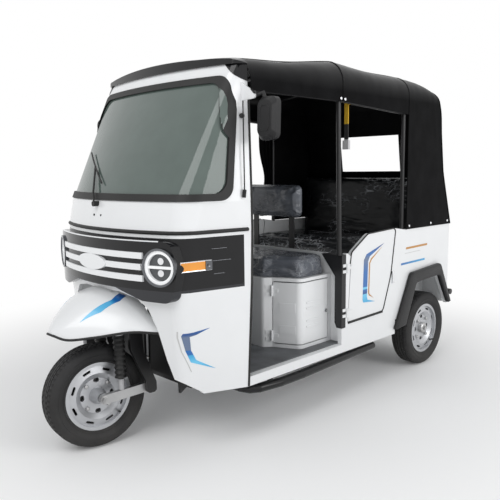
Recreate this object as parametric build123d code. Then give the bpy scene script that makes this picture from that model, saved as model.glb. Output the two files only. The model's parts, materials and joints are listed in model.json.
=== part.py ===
"""Electric passenger tricycle: one steered wheel, a closed nose and a soft top.

Lengths are in millimetres. Stations along Y are measured from the rear axle, with the nose
towards -Y, the vehicle's left towards +X and the ground at Z = 0. Every solid is moved at the
end so that the origin lies on the ground under the middle of the object's box.
"""
import math
import os

from build123d import *

# Wheels
WHEELBASE = 2220.0
TRACK = 970.0
TYRE_OD = 494.0
TYRE_W = 135.0
TREAD_HALF = 46.0
RIM_OD = 340.0
RIM_BORE_R = 150.0
RIM_SHEET = 9.0
RIM_LIP = 5.0
BEAD_HALF = 44.5
BEAD_STEP = 8.0
HUB_R = 92.0
# Openings in the wheel disc: how many, pitch radius, length, width, first angle
VENTS = ((4, 76.0, 30.0, 21.0, 0.0), (8, 131.0, 42.0, 12.0, 22.5))

# Steering, measured along the raked axis from the front axle
RAKE_DEG = 20.0
STEER_REST_DEG = -8.0
CROWN_AT = 382.0
CROWN_H = 30.0
HEAD_FROM = 424.0
HEAD_TO = 580.0
CLAMP_AT = 800.0
STEM_R = 17.0
HEAD_R = 30.0
LEG_X = 110.0
LEG_T = 26.0
LINK_BACK = 235.0
LINK_R = 22.0
SHOCK_BACK = 92.0
BOOT_R = 30.0
BOOT_GROOVE = 6.0
BOOT_FOLDS = 9
SHOCK_R = 14.0
NUT_R = 17.0
NUT_T = 13.0
AXLE_R = 9.0
GRIP_X = 330.0
GRIP_BACK = 165.0

# Body
HALF_W = 570.0
WALL = 25.0
SKIN = 18.0
SILL_Z = 299.0
FLOOR_Z = 345.0
FLOOR_T = 18.0
MAT_T = 4.0
BODY_TOP_Z = 950.0
REAR_Y = 243.0
REAR_LOW_Z = 400.0
REAR_REACH = 316.0
B_POST_Y = -1000.0
PARTITION_Y = -950.0
PARTITION_T = 15.0
PARTITION_TOP_Z = 855.0

# Nose, as plan sections: height, front of the bow, bow radius, corner x, corner radius, rear x, rear y
NOSE_LOW = (SILL_Z, -2108.0, 1190.0, 448.0, 80.0, 570.0, -1725.0)
NOSE_TOP = (790.0, -2165.0, 1190.0, 492.0, 100.0, 569.0, -1697.0)
GRILLE_TOP = (1034.0, -2160.0, 1195.0, 503.0, 120.0, 568.0, -1692.0)
COWL_LOW = (1062.0, -2157.0, 1200.0, 507.0, 130.0, 568.0, -1690.0)
SCREEN_LOW = (1190.0, -2130.0, 1200.0, 517.0, 140.0, 566.0, -1690.0)
SCREEN_TOP = (1762.0, -1822.0, 2000.0, 514.0, 60.0, 550.0, -1692.0)
HEADER_TOP = (1808.0, -1801.0, 2000.0, 514.0, 60.0, 550.0, -1692.0)
VISOR_TOP = (1900.0, -1776.0, 2600.0, 520.0, 50.0, 556.0, -1692.0)
SCREEN_EDGE_Y = (-1797.0, -1737.0)
SCREEN_MARGIN = 4.0
SEAL_W = 32.0
SEAL_PROUD = 7.0
GLASS_T = 6.0

# Grille and lamps
PLATE_R = 1190.0
PLATE_FRONT_Y = -2200.0
PLATE_T = 42.0
BAR_PROUD = 9.0
LAMP_X = 427.0
LAMP_Z = 909.0
LAMP_R = 86.0
LAMP_LEN = 60.0
RING_R = 76.0
RING_W = 15.0

# Mudguard sections: y, half width, rim height, crown height
GUARD = (
    (-2076.0, 350.0, 590.0, 768.0),
    (-2190.0, 288.0, 606.0, 772.0),
    (-2310.0, 188.0, 588.0, 722.0),
    (-2395.0, 92.0, 574.0, 656.0),
    (-2434.0, 26.0, 590.0, 613.0),
)
GUARD_T = 5.0

# Soft top
CANVAS = 12.0
TOP_HALF_W = 575.0
TOP_FRONT_Y = -1692.0
SKIRT_Z = 1688.0
SKIRT_REAR_Z = 1657.0
EAVE_DROP = 47.0
EAVE_R = 120.0
QUARTER_Y = -330.0
WINDOW_X = 250.0
WINDOW_Z = (1313.0, 1565.0)
TUBE_R = 13.0
# Roof sections: station, height of the crown
ROOF_FRONT = (TOP_FRONT_Y, 1872.0)
ROOF_MID = (B_POST_Y, 1938.0)
ROOF_QUARTER = (QUARTER_Y, 1918.0)
ROOF_TAIL = (300.0, 1890.0)
ROOF_BROW = (-1860.0, 1846.0)

# Seats
BOX_TOP_Z = 740.0
BOX_T = 12.0
SEAT_TOP_Z = 862.0
BENCH_Y = -560.0
BENCH_Z = 775.0
BENCH_SEAT_Z = 890.0
BENCH_BACK_Z = 1290.0

# Doors
DOOR_T = 24.0
DOOR_GAP = 6.0
DOOR_HINGE_Y = -946.0
HINGE_R = 8.0
PIN_R = 4.0
PIN_CLEAR = 0.4
SEAT_GAP = 0.3
HATCH_Z = (368.0, 722.0)
HATCH_T = 12.0
HATCH_GAP = 6.0

RAKE = math.radians(RAKE_DEG)
TYRE_R = TYRE_OD / 2
LEAN = math.sin(math.radians(abs(STEER_REST_DEG))) * math.sin(RAKE)
FRONT_Z = TYRE_R * math.sqrt(1 - LEAN ** 2) + TREAD_HALF * LEAN
TURN = math.sin(math.radians(abs(STEER_REST_DEG))) * math.cos(RAKE)
FRONT_REACH = TYRE_R * math.sqrt(1 - TURN ** 2) + TREAD_HALF * TURN
SHIFT_Y = (WHEELBASE + FRONT_REACH - REAR_REACH) / 2
FRONT_AXLE = Vector(0, -WHEELBASE, FRONT_Z)
STEER_DIR = Vector(0, math.sin(RAKE), math.cos(RAKE))
STEER_AXIS = Axis(FRONT_AXLE, STEER_DIR)


def outline(corners):
    """A flat face from corners (a, b) or (a, b, radius of the rounding)."""
    pts = [Vector(c[0], c[1]) for c in corners]
    starts, curves = [], []
    for i, c in enumerate(corners):
        p = pts[i]
        radius = c[2] if len(c) > 2 else 0
        to_prev = (pts[i - 1] - p).normalized()
        to_next = (pts[(i + 1) % len(pts)] - p).normalized()
        if radius:
            half = math.radians(to_prev.get_angle(to_next)) / 2
            reach = radius / math.tan(half)
            mid = p + (to_prev + to_next).normalized() * (radius / math.sin(half) - radius)
            starts.append((p + to_prev * reach, p + to_next * reach))
            curves.append(ThreePointArc(starts[-1][0], mid, starts[-1][1]))
        else:
            starts.append((p, p))
    for i in range(len(pts)):
        a, b = starts[i][1], starts[(i + 1) % len(pts)][0]
        if (b - a).length > 1e-6:
            curves.append(Line(a, b))
    return make_face(curves)


def box(x, y, z):
    """A block between low and high values on each axis."""
    size = [max(v) - min(v) for v in (x, y, z)]
    return Pos(sum(x) / 2, sum(y) / 2, sum(z) / 2) * Box(*size)


def side_prism(corners, x):
    """A side-view outline (y, z) carried across from x[0] to x[1]."""
    plane = Plane(origin=(min(x), 0, 0), x_dir=(0, 1, 0), z_dir=(1, 0, 0))
    return extrude(plane * outline(corners), amount=abs(x[1] - x[0]))


def front_prism(corners, y):
    """A front-view outline (x, z) carried along from y[0] to y[1]."""
    plane = Plane(origin=(0, max(y), 0), x_dir=(1, 0, 0), z_dir=(0, -1, 0))
    return extrude(plane * outline(corners), amount=abs(y[1] - y[0]))


def plan_prism(corners, z):
    """A plan outline (x, y) carried up from z[0] to z[1]."""
    return extrude(Pos(0, 0, min(z)) * outline(corners), amount=abs(z[1] - z[0]))


def rod(p, q, radius):
    """A round bar between two points."""
    along = Vector(q) - Vector(p)
    base = Align.CENTER, Align.CENTER, Align.MIN
    return Plane(origin=p, z_dir=along) * Cylinder(radius, along.length, align=base)


def bent_rod(points, radius, bend):
    """A round bar along rounded corners."""
    path = FilletPolyline(*points, radius=bend)
    start = Plane(origin=path @ 0, z_dir=path % 0)
    return sweep(start * Circle(radius), path=path)


def tube_run(points, radius):
    """A round bar along straight runs, mitred at each bend."""
    stops = [Vector(p) for p in points]
    ways = [(q - p).normalized() for p, q in zip(stops, stops[1:])]
    over = 2 * radius
    whole = None
    for i, way in enumerate(ways):
        start, end = stops[i], stops[i + 1]
        if i:
            start -= way * over
        if i < len(ways) - 1:
            end += way * over
        run = rod(start, end, radius)
        if i:
            mitre = Plane(origin=stops[i], z_dir=ways[i - 1] + way)
            run = split(run, bisect_by=mitre, keep=Keep.TOP)
        if i < len(ways) - 1:
            mitre = Plane(origin=stops[i + 1], z_dir=way + ways[i + 1])
            run = split(run, bisect_by=mitre, keep=Keep.BOTTOM)
        whole = run if whole is None else whole + run
    return whole


def both(part):
    """The part and its mirror on the other side."""
    return [part, mirror(part, about=Plane.YZ)]


def mirrored_outline(half):
    """A front or plan outline from its corners on the left side, lowest first."""
    other = [(-c[0],) + tuple(c[1:]) for c in reversed(half)]
    return list(half) + other


def plan_face(section, inset=0.0, open_back=0.0):
    """One plan section of the nose, pulled inwards by the inset."""
    z, y_front, r_front, x_corner, r_corner, x_back, y_back = section
    y_mid, radius, xc = y_front + inset, r_front - inset, x_corner - inset
    yc = y_mid + radius - math.sqrt(radius ** 2 - xc ** 2)
    lean = (x_back - inset - xc) / (y_back - yc)
    xb, yb = x_back - inset + lean * open_back, y_back + open_back
    bow = ThreePointArc((-xc, yc), (0, y_mid), (xc, yc))
    flank = Polyline((xc, yc), (xb, yb), (-xb, yb), (-xc, yc))
    face = make_face([*bow.edges(), *flank.edges()])
    front = [v for v in face.vertices() if v.Y < yc + 1]
    return Pos(0, 0, z) * fillet(front, max(r_corner - inset, 5.0))


def between(low, high, z):
    """The plan section at height z on the way from one section to another."""
    share = (z - low[0]) / (high[0] - low[0])
    return tuple(a + (b - a) * share for a, b in zip(low, high))


def band(low, high, inset=0.0, open_back=0.0):
    """The solid between two plan sections."""
    return loft([plan_face(low, inset, open_back), plan_face(high, inset, open_back)])


def skin(low, high, thick, outer=0.0):
    """The wall between two plan sections, open below, above and behind."""
    lower = between(low, high, low[0] - 2)
    upper = between(low, high, high[0] + 2)
    return band(low, high, outer) - band(lower, upper, outer + thick, 60.0)


NODES = {}


def node(name, *parts):
    """Keep the solids of one named piece."""
    pieces = [q for p in parts for q in (p if isinstance(p, list) else [p])]
    NODES[name] = [solid for piece in pieces for solid in piece.solids()]


def on_axis(at, offset=0.0):
    """A point on the steering axis, or level beside it along Y."""
    return FRONT_AXLE + STEER_DIR * at + Vector(0, offset, 0)


# Chassis
RAIL_INBOARD = 185.0
RAIL_X, RAIL_W, RAIL_H = TRACK / 2 - RAIL_INBOARD, 50.0, 58.0
RAIL_TOP = FLOOR_Z - FLOOR_T
KICK_Y = (-470.0, -420.0)
REAR_RAIL_Z = (FLOOR_Z + 12, FLOOR_Z + 72)
RAIL_FRONT_Y = -1880.0
rail_x = (RAIL_X - RAIL_W / 2, RAIL_X + RAIL_W / 2)
rail = box(rail_x, (RAIL_FRONT_Y, KICK_Y[1]), (RAIL_TOP - RAIL_H, RAIL_TOP))
rail += box(rail_x, KICK_Y, (RAIL_TOP - RAIL_H, REAR_RAIL_Z[1]))
rail += box(rail_x, (KICK_Y[0], REAR_Y - WALL), REAR_RAIL_Z)
frame = rail + mirror(rail, about=Plane.YZ)
for y in (RAIL_FRONT_Y + 25, -1300.0, -700.0):
    frame += box((-RAIL_X, RAIL_X), (y - 25, y + 25), (RAIL_TOP - RAIL_H, RAIL_TOP))
frame += box((-RAIL_X, RAIL_X), (REAR_Y - WALL - 50, REAR_Y - WALL), REAR_RAIL_Z)
NECK_T = 50.0
neck_mid = on_axis((HEAD_FROM + HEAD_TO) / 2)
neck = side_prism(
    [
        (RAIL_FRONT_Y, RAIL_TOP - RAIL_H),
        (RAIL_FRONT_Y + 50, RAIL_TOP - RAIL_H),
        (RAIL_FRONT_Y + 50, neck_mid.Z + 45, 60),
        (neck_mid.Y, neck_mid.Z + 45),
        (neck_mid.Y, neck_mid.Z - 45),
        (RAIL_FRONT_Y, neck_mid.Z - 45, 40),
    ],
    (-NECK_T / 2, NECK_T / 2),
)
frame += neck + rod(on_axis(HEAD_FROM), on_axis(HEAD_TO), HEAD_R)
frame -= rod(on_axis(HEAD_FROM - 5), on_axis(HEAD_TO + 5), STEM_R + PIN_CLEAR)
node("chassis_frame", frame)

# Floor
FLOOR_FRONT_Y = -1886.0
SILL_IN = HALF_W - 32
nose_x = 478.0
pan_half = [
    (HALF_W - WALL, KICK_Y[0] - 4),
    (HALF_W - WALL, NOSE_LOW[6] + 2),
    (nose_x, FLOOR_FRONT_Y),
]
pan = plan_prism(mirrored_outline(pan_half), (FLOOR_Z - FLOOR_T, FLOOR_Z))
sill = box((SILL_IN, HALF_W), (NOSE_LOW[6] + 4, B_POST_Y + 14), (SILL_Z, FLOOR_Z))
neck_zone = box((-NECK_T / 2 - 1, NECK_T / 2 + 1), (-2000, RAIL_FRONT_Y + 51), (0, 900))
node("floor_pan", pan + sill + mirror(sill, about=Plane.YZ) - neck_zone)

# Driver's box, with the corner cut back on each side and a hatch on the left
BOX_PLAN = [(467.0, PARTITION_Y), (465.0, -1215.0, 40), (316.0, -1287.0), (280.0, -1327.0, 30)]


def inset_plan(half, by):
    """The box plan pulled inwards."""
    pulled = []
    for c in half:
        back = by if c[1] < PARTITION_Y else 0
        pulled.append((c[0] - by, c[1] + back) + tuple(c[2:]))
    return mirrored_outline(pulled)


box_outer = plan_prism(mirrored_outline(BOX_PLAN), (FLOOR_Z, BOX_TOP_Z))
box_inner = plan_prism(inset_plan(BOX_PLAN, BOX_T), (FLOOR_Z, BOX_TOP_Z - BOX_T))
hatch_zone = box((BOX_PLAN[2][0], 600), (-1400.0, PARTITION_Y - 28), HATCH_Z)
seat_box = box_outer - box_inner - hatch_zone
node("seat_box", seat_box)

MAT_EDGE = 20.0
mat_z = (FLOOR_Z, FLOOR_Z + MAT_T)
mat_cut_z = (mat_z[0] - 1, mat_z[1] + 1)
mat_plan = [
    (SILL_IN - 4, PARTITION_Y),
    (SILL_IN - 4, NOSE_LOW[6] + 10),
    (nose_x - MAT_EDGE, FLOOR_FRONT_Y + MAT_EDGE),
]
mat_front = plan_prism(mirrored_outline(mat_plan), mat_z)
mat_front -= plan_prism(inset_plan(BOX_PLAN, -1.0), mat_cut_z)
mat_front -= box((-600, 600), (PARTITION_Y - 1, PARTITION_Y + 5), mat_cut_z)
mat_half = HALF_W - WALL - MAT_EDGE
mat_rear = box((-mat_half, mat_half), (PARTITION_Y + PARTITION_T + 2, BENCH_Y - 2), mat_z)
node("floor_mat", mat_front - neck_zone, mat_rear)

# Nose
ARCH = [
    (440.0, SILL_Z - 20),
    (385.0, 470.0, 60),
    (358.0, 600.0, 60),
    (318.0, 706.0, 40),
    (262.0, 750.0, 50),
    (150.0, 771.4, 120),
]
CORNER_CUT = [
    (-2300, SILL_Z - 60),
    (-1925, SILL_Z - 60),
    (-1925, SILL_Z, 40),
    (-2050, 382, 60),
    (-2300, 420),
]
nose = skin(NOSE_LOW, NOSE_TOP, SKIN)
nose -= front_prism(mirrored_outline(ARCH), (-2400, -1900))
nose -= side_prism(CORNER_CUT, (-700, 700))
node("nose_panel", nose)

HOUSE_Y = (-1904.0, -1892.0)
HOUSE_TOP = 640.0
housing = box((-340, 340), HOUSE_Y, (SILL_Z + 6, HOUSE_TOP))
for s in (1, -1):
    wing = [(s * 340, HOUSE_Y[1]), (s * 340, HOUSE_Y[0]), (s * 424, -2050.0), (s * 434, -2042.0)]
    housing += plan_prism(wing, (SILL_Z + 6, HOUSE_TOP))
housing -= neck_zone
housing -= box((-RAIL_X - 30, RAIL_X + 30), (RAIL_FRONT_Y - 1, -1800), (SILL_Z, RAIL_TOP + 1))
node("wheel_housing", housing & band(NOSE_LOW, NOSE_TOP, SKIN + SEAT_GAP))


def guard_section(y, half, rim, crown, inset=0.0, drop=0.0):
    """One arched section of the mudguard."""
    w, top, low = half - inset, crown - inset, rim - drop
    plane = Plane(origin=(0, y, 0), x_dir=(1, 0, 0), z_dir=(0, -1, 0))
    arch = ThreePointArc((-w, rim), (0, top), (w, rim))
    foot = Line((w, rim), (-w, rim))
    if drop:
        foot = Polyline((w, rim), (w, low), (-w, low), (-w, rim))
    return plane * make_face([*arch.edges(), *foot.edges()])


guard = loft([guard_section(*g) for g in GUARD])
root, tip = GUARD[0], GUARD[-1]
hollow = [(root[0] + 3,) + root[1:], *GUARD[1:-1], (tip[0] + GUARD_T,) + tip[1:]]
guard -= loft([guard_section(*g, inset=GUARD_T, drop=40.0) for g in hollow])
EAR_H = 44.0
EAR = [
    (root[1] - 6, root[2]),
    (root[1] + 34, root[2]),
    (root[1] + 34, root[2] + EAR_H),
    (root[1] - 20, root[2] + EAR_H),
]
for s in (1, -1):
    guard += front_prism([(s * x, z) for x, z in EAR], (root[0] - 2, root[0] + 6))
node("front_mudguard", guard - nose)

# Grille: a wrapped band with a thicker bowed plate in front
grille_band = skin(NOSE_TOP, GRILLE_TOP, SKIN)
bow_y = PLATE_FRONT_Y + PLATE_R


def bowed(proud, depth, z, half=560.0):
    """A bowed slab in front of the plate's face by the given amount."""
    ring = Circle(PLATE_R + proud) - Circle(PLATE_R + proud - depth)
    slab = extrude(Pos(0, bow_y, min(z)) * ring, amount=abs(z[1] - z[0]))
    return slab & box((-half, half), (-2300, bow_y - PLATE_R / 2), z)


PLATE_OUT = [(335.0, 752.0, 30), (478.0, 750.0, 40), (508.0, 905.0, 60), (478.0, 1024.0, 50)]
plate = bowed(0, PLATE_T, (700, 1100)) & front_prism(
    mirrored_outline([(170.0, 800.0, 90)] + PLATE_OUT), (-2300, -1900)
)
plate -= band(NOSE_LOW, NOSE_TOP)
lamp_turn = math.degrees(math.asin(LAMP_X / PLATE_R))
lamp_face_y = bow_y - math.sqrt(PLATE_R ** 2 - LAMP_X ** 2)
lamp_plane = Plane(
    origin=(LAMP_X, lamp_face_y, LAMP_Z),
    z_dir=(math.sin(math.radians(lamp_turn)), -math.cos(math.radians(lamp_turn)), 0),
)
down = (Align.CENTER, Align.CENTER, Align.MAX)


def lamp_disc(radius, front, depth):
    """A disc on the lamp's own axis, its front face proud of the plate by the given amount."""
    return lamp_plane * Pos(0, 0, front) * Cylinder(radius, depth, align=down)


lamp_hole = lamp_disc(LAMP_R, 40, 160)
grille = grille_band + plate
for hole in both(lamp_hole):
    grille -= hole
node("grille_panel", grille)

bezel = lamp_disc(LAMP_R, 10, LAMP_LEN) - lamp_disc(RING_R, 11, LAMP_LEN - 12)
ring = lamp_disc(RING_R, 4, 16) - lamp_disc(RING_R - RING_W, 5, 18)
ring += lamp_plane * Pos(0, 0, -1) * Box(2 * (RING_R - RING_W) + 6, 12, 10, align=down)
lens = lamp_disc(RING_R, -13, 8)
node("headlamp_bezels", both(bezel))
node("headlamp_rings", both(ring))
node("headlamp_lenses", both(lens))

BARS = ((944.0, 972.0, 346.0), (893.0, 921.0, 338.0), (842.0, 870.0, 346.0))
BADGE_X, BADGE_Z, BADGE_H = 120.0, 907.0, 37.0
badge_plane = Plane(origin=(0, -2100, BADGE_Z), x_dir=(1, 0, 0), z_dir=(0, -1, 0))
badge_zone = extrude(badge_plane * Ellipse(BADGE_X, BADGE_H), amount=200)
bars = bowed(BAR_PROUD + 4, BAR_PROUD + 4, (BADGE_Z - 50, BADGE_Z + 50)) & badge_zone
lamp_room = both(lamp_disc(LAMP_R + 2, 60, 160))
for z0, z1, half in BARS:
    bars += bowed(BAR_PROUD, BAR_PROUD, (z0, z1), half) - lamp_room[0] - lamp_room[1]
node("grille_bars", bars)

# Amber indicators beside the lamps, lying on the wing of the grille
IND_L, IND_H, IND_T, IND_AT = 150.0, 38.0, 8.0, 64.0
IND_DEPTH = 60.0
wing_mid = between(NOSE_TOP, GRILLE_TOP, LAMP_Z)
wing_yc = wing_mid[1] + wing_mid[2] - math.sqrt(wing_mid[2] ** 2 - wing_mid[3] ** 2)
wing_dir = Vector(wing_mid[5] - wing_mid[3], wing_mid[6] - wing_yc, 0).normalized()
wing_out = Vector(-wing_dir.Y, wing_dir.X, 0) * -1
ind_at = Vector(wing_mid[3], wing_yc, LAMP_Z) + wing_dir * IND_AT
ind_plane = Plane(origin=ind_at, x_dir=wing_dir, z_dir=wing_out)
lamp_box = ind_plane * Pos(0, 0, IND_T) * Box(IND_L, IND_H, IND_DEPTH, align=down)
indicator = lamp_box - band(NOSE_TOP, GRILLE_TOP) - plate - lamp_hole
node("front_indicators", both(indicator))

# Upper front: ledge, cowl and screen surround in one moulding
FRONT_SECTIONS = (GRILLE_TOP, COWL_LOW, SCREEN_LOW, SCREEN_TOP, HEADER_TOP)
core_sections = (
    between(GRILLE_TOP, COWL_LOW, GRILLE_TOP[0] - 2),
    *FRONT_SECTIONS[1:-1],
    between(SCREEN_TOP, HEADER_TOP, HEADER_TOP[0] + 2),
)
front_shell = loft([plan_face(section) for section in FRONT_SECTIONS], ruled=True)
front_shell -= loft([plan_face(section, SKIN, 60.0) for section in core_sections], ruled=True)


def screen_zone(inset):
    """The space that the screen takes, pulled inwards all round."""
    low, high = SCREEN_LOW[0] + SCREEN_MARGIN + inset, SCREEN_TOP[0] - SCREEN_MARGIN - inset
    edge = [y - inset for y in SCREEN_EDGE_Y]
    side_view = [
        (-2400, low),
        (edge[0], low, 70),
        (edge[1], high),
        (edge[1], high + 90),
        (-2400, high + 90),
    ]
    half_view = [(640 - inset, low - 200), (640 - inset, low), (508 - inset, high, 75)]
    ahead = front_prism(mirrored_outline(half_view), (-2400, -1600))
    return side_prism(side_view, (-700, 700)) & ahead


opening = screen_zone(0)
pane_zone = screen_zone(SEAL_W)
front_shell -= opening
# Three-cornered brackets on the pillars, which hold the mirrors
BRACKET = [(540.0, 1642.0), (540.0, 1724.0), (626.0, 1672.0, 8), (626.0, 1648.0, 8)]
BRACKET_Y = (-1722.0, -1712.0)
bracket_plate = front_prism(BRACKET, BRACKET_Y)
front_shell += bracket_plate + mirror(bracket_plate, about=Plane.YZ)
node("cab_front", front_shell)
seal_wall = skin(SCREEN_LOW, SCREEN_TOP, SKIN + SEAL_PROUD, -SEAL_PROUD)
node("windscreen_seal", (seal_wall & opening) - pane_zone)
pane_wall = skin(SCREEN_LOW, SCREEN_TOP, GLASS_T, 4.0)
node("windscreen_glass", pane_wall & pane_zone)

# Wiper parked across the glass, on a spindle in the cowl
WIPER_PIVOT = (-45.0, 1176.0)
WIPER_BLADE = ((-371.0, 1430.0), (-222.0, 1355.0), (-70.0, 1274.0))
WIPER_OFF = 9.0
WIPER_ARM_OFF = 22.0
BLADE_R, ARM_R, SPINDLE_R = 4.0, 5.0, 13.0


def on_screen(at, off):
    """A point in front of the glass or the cowl, given by x and z."""
    x, z = at
    low, high = (COWL_LOW, SCREEN_LOW) if z < SCREEN_LOW[0] else (SCREEN_LOW, SCREEN_TOP)
    section = between(low, high, z)
    y = section[1] + section[2] - math.sqrt(section[2] ** 2 - x ** 2)
    return (x, y - off, z)


blade_path = ThreePointArc(*[on_screen(at, WIPER_OFF) for at in WIPER_BLADE])
blade_start = Plane(origin=blade_path @ 0, z_dir=blade_path % 0)
wiper = sweep(blade_start * Circle(BLADE_R), path=blade_path)
pivot = on_screen(WIPER_PIVOT, WIPER_ARM_OFF)
knee = on_screen((-90.0, 1226.0), WIPER_ARM_OFF)
wiper += tube_run([pivot, knee, on_screen(WIPER_BLADE[1], WIPER_OFF)], ARM_R)
wiper += rod(on_screen(WIPER_PIVOT, WIPER_ARM_OFF + 6), on_screen(WIPER_PIVOT, -8), SPINDLE_R)
node("wiper", wiper - front_shell)

# Visor and soft top, from cross-sections of the roof


def roof_section(station, inset=0.0, low=700.0, widen=0.0):
    """One cross-section of the roof, standing at its station."""
    y, top = station
    half, crown_z, eave_z = TOP_HALF_W - inset + widen, top - inset, top - EAVE_DROP - inset
    arc = ThreePointArc((-half, eave_z), (0, crown_z), (half, eave_z))
    walls = Polyline((half, eave_z), (half, low), (-half, low), (-half, eave_z))
    face = make_face([*arc.edges(), *walls.edges()])
    eaves = [v for v in face.vertices() if v.Y > low + 1]
    plane = Plane(origin=(0, y, 0), x_dir=(1, 0, 0), z_dir=(0, -1, 0))
    return plane * fillet(eaves, EAVE_R - inset)


def roof_run(stations, inset=0.0, low=700.0, widen=0.0):
    """The solid under the roof between stations."""
    faces = [roof_section(st, inset, low, widen) for st in stations]
    whole = loft(faces[:2])
    for pair in zip(faces[1:-1], faces[2:]):
        whole += loft(pair)
    return whole


VISOR_OUT = 10.0
visor_zone = roof_run((ROOF_BROW, ROOF_FRONT), 0, 1600.0, 20.0)
visor_core = roof_run((ROOF_BROW, (ROOF_FRONT[0] + 5, ROOF_FRONT[1])), SKIN, 1590.0, 20.0)
visor = band(HEADER_TOP, VISOR_TOP, -VISOR_OUT) & visor_zone
visor_low = between(HEADER_TOP, VISOR_TOP, HEADER_TOP[0] - 2)
visor -= band(visor_low, VISOR_TOP, SKIN, 60.0) & visor_core
node("roof_visor", visor)

TAIL = [(58.0, 1890.0, 280), (84.0, 1560.0, 200), (122.0, 1305.0, 200), (REAR_Y, BODY_TOP_Z)]


def tail_zone(inset):
    """Everything ahead of the sloping back of the soft top."""
    drops = [inset] + [0] * (len(TAIL) - 1)
    slope = [(c[0] - inset, c[1] - d) + tuple(c[2:]) for c, d in zip(TAIL, drops)]
    front, foot = TOP_FRONT_Y - 60, 850
    corners = [(front, 2020 - inset), *slope, (REAR_Y - inset + 30, foot), (front, foot)]
    return side_prism(corners, (-700, 700))


STATIONS = (ROOF_FRONT, ROOF_MID, ROOF_QUARTER, ROOF_TAIL)
INNER = ((ROOF_FRONT[0] - 5, ROOF_FRONT[1]), *STATIONS[1:])
soft = (roof_run(STATIONS) & tail_zone(0)) - (roof_run(INNER, CANVAS, 690.0) & tail_zone(CANVAS))
soft &= box((-700, 700), (TOP_FRONT_Y, 400), (BODY_TOP_Z, 2000))
roof_view = [
    (TOP_FRONT_Y, 2000),
    (TOP_FRONT_Y, SKIRT_Z),
    (B_POST_Y, SKIRT_Z),
    (QUARTER_Y, SKIRT_REAR_Z),
    (QUARTER_Y, 2000),
]
node("canopy_roof", soft & side_prism(roof_view, (-700, 700)))
quarter = soft & box((-700, 700), (QUARTER_Y, 400), (BODY_TOP_Z, 2000))
window_half = [(WINDOW_X, WINDOW_Z[0], 40), (WINDOW_X, WINDOW_Z[1], 40)]
quarter -= front_prism(mirrored_outline(window_half), (-100, 400))
node("canopy_rear", quarter)

# Posts, rails and bows that carry the soft top
POST_X = TOP_HALF_W - CANVAS - TUBE_R - 1
RAIL_OVER = 10.0
HOOPS = (
    (B_POST_Y - 6, B_POST_Y + 12, PARTITION_TOP_Z, SKIRT_Z, ROOF_MID[1] - 4),
    (QUARTER_Y - 16, QUARTER_Y - 16, BODY_TOP_Z, SKIRT_REAR_Z, ROOF_QUARTER[1]),
)
HOOP_BEND = 90.0
RAIL_R = 11.0
top_frame = None
for y, foot_y, foot_z, skirt, top in HOOPS:
    half = [
        (HALF_W - WALL + 5, foot_y, foot_z),
        (POST_X, y, skirt + RAIL_OVER),
        (POST_X, y, top - EAVE_DROP - 45),
    ]
    path = [(-p[0], p[1], p[2]) for p in half] + [(0, y, top - 40)] + half[::-1]
    hoop = bent_rod(path, TUBE_R, HOOP_BEND)
    top_frame = hoop if top_frame is None else top_frame + hoop
for s in (1, -1):
    joint = (s * POST_X, HOOPS[0][0], SKIRT_Z + RAIL_OVER)
    top_frame += rod((s * POST_X, TOP_FRONT_Y + 8, SKIRT_Z + RAIL_OVER), joint, RAIL_R)
    top_frame += rod(joint, (s * POST_X, HOOPS[1][0], SKIRT_REAR_Z + RAIL_OVER), RAIL_R)

# Partition and the black posts at its ends
partition = front_prism(
    mirrored_outline([(533.0, FLOOR_Z), (533.0, 735.0), (425.0, PARTITION_TOP_Z)]),
    (PARTITION_Y, PARTITION_Y + PARTITION_T),
)
node("partition", partition)
POST_VIEW = [
    (521.0, 470.0),
    (535.0, 440.0),
    (HALF_W, 440.0),
    (HALF_W, PARTITION_TOP_Z),
    (425.0, PARTITION_TOP_Z),
    (521.0, 735.0),
]
post = front_prism(POST_VIEW, (PARTITION_Y - 38, PARTITION_Y))
node("door_posts", both(post))

# Battery in the box, and the seat on top
node("battery_pack", box((-270, 270), (-1262, PARTITION_Y - 20), (FLOOR_Z, BOX_TOP_Z - BOX_T - 40)))
CUSHION_IN = 14.0
seat = plan_prism(inset_plan(BOX_PLAN, CUSHION_IN), (BOX_TOP_Z, SEAT_TOP_Z))
seat_cut_z = (BOX_TOP_Z - 1, SEAT_TOP_Z + 1)
seat -= box((-600, 600), (PARTITION_Y - 1, PARTITION_Y + 60), seat_cut_z)
for s in (1, -1):
    seat -= box((s * 420, s * 600), (PARTITION_Y - 42, PARTITION_Y + 60), seat_cut_z)
node("driver_cushion", seat)
BACK_Z = (1037.0, 1250.0)
BACK_HALF, BACK_T = 248.0, 68.0
back_y = PARTITION_Y + PARTITION_T
back_view = mirrored_outline([(BACK_HALF, BACK_Z[0], 40), (BACK_HALF, BACK_Z[1], 40)])
node("driver_backrest", front_prism(back_view, (back_y - BACK_T, back_y)))
bracket = box((130, 170), (back_y, back_y + 8), (700, BACK_Z[1] - 40))
node("backrest_brackets", both(bracket))

# Passenger bench
WHEEL_CLEAR = 22.5
BENCH_HALF = TRACK / 2 - TYRE_W / 2 - WHEEL_CLEAR
bench = box((-BENCH_HALF, BENCH_HALF), (BENCH_Y, REAR_Y - WALL), (FLOOR_Z, BENCH_Z))
BENCH_T = 14.0
bench_in = BENCH_HALF - BENCH_T
bench -= box((-bench_in, bench_in), (BENCH_Y + BENCH_T, REAR_Y), (FLOOR_Z - 1, BENCH_Z - BENCH_T))
bench += box((-HALF_W + WALL, HALF_W - WALL), (BENCH_Y, REAR_Y - WALL), (BENCH_Z - BENCH_T, BENCH_Z))
node("bench_base", bench)
CUSHION_HALF = 530.0
BENCH_BACK_Y = (-60.0, 62.0)
cushion_x = (-CUSHION_HALF, CUSHION_HALF)
node("passenger_cushion", box(cushion_x, (BENCH_Y - 20, BENCH_BACK_Y[0]), (BENCH_Z, BENCH_SEAT_Z)))
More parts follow.
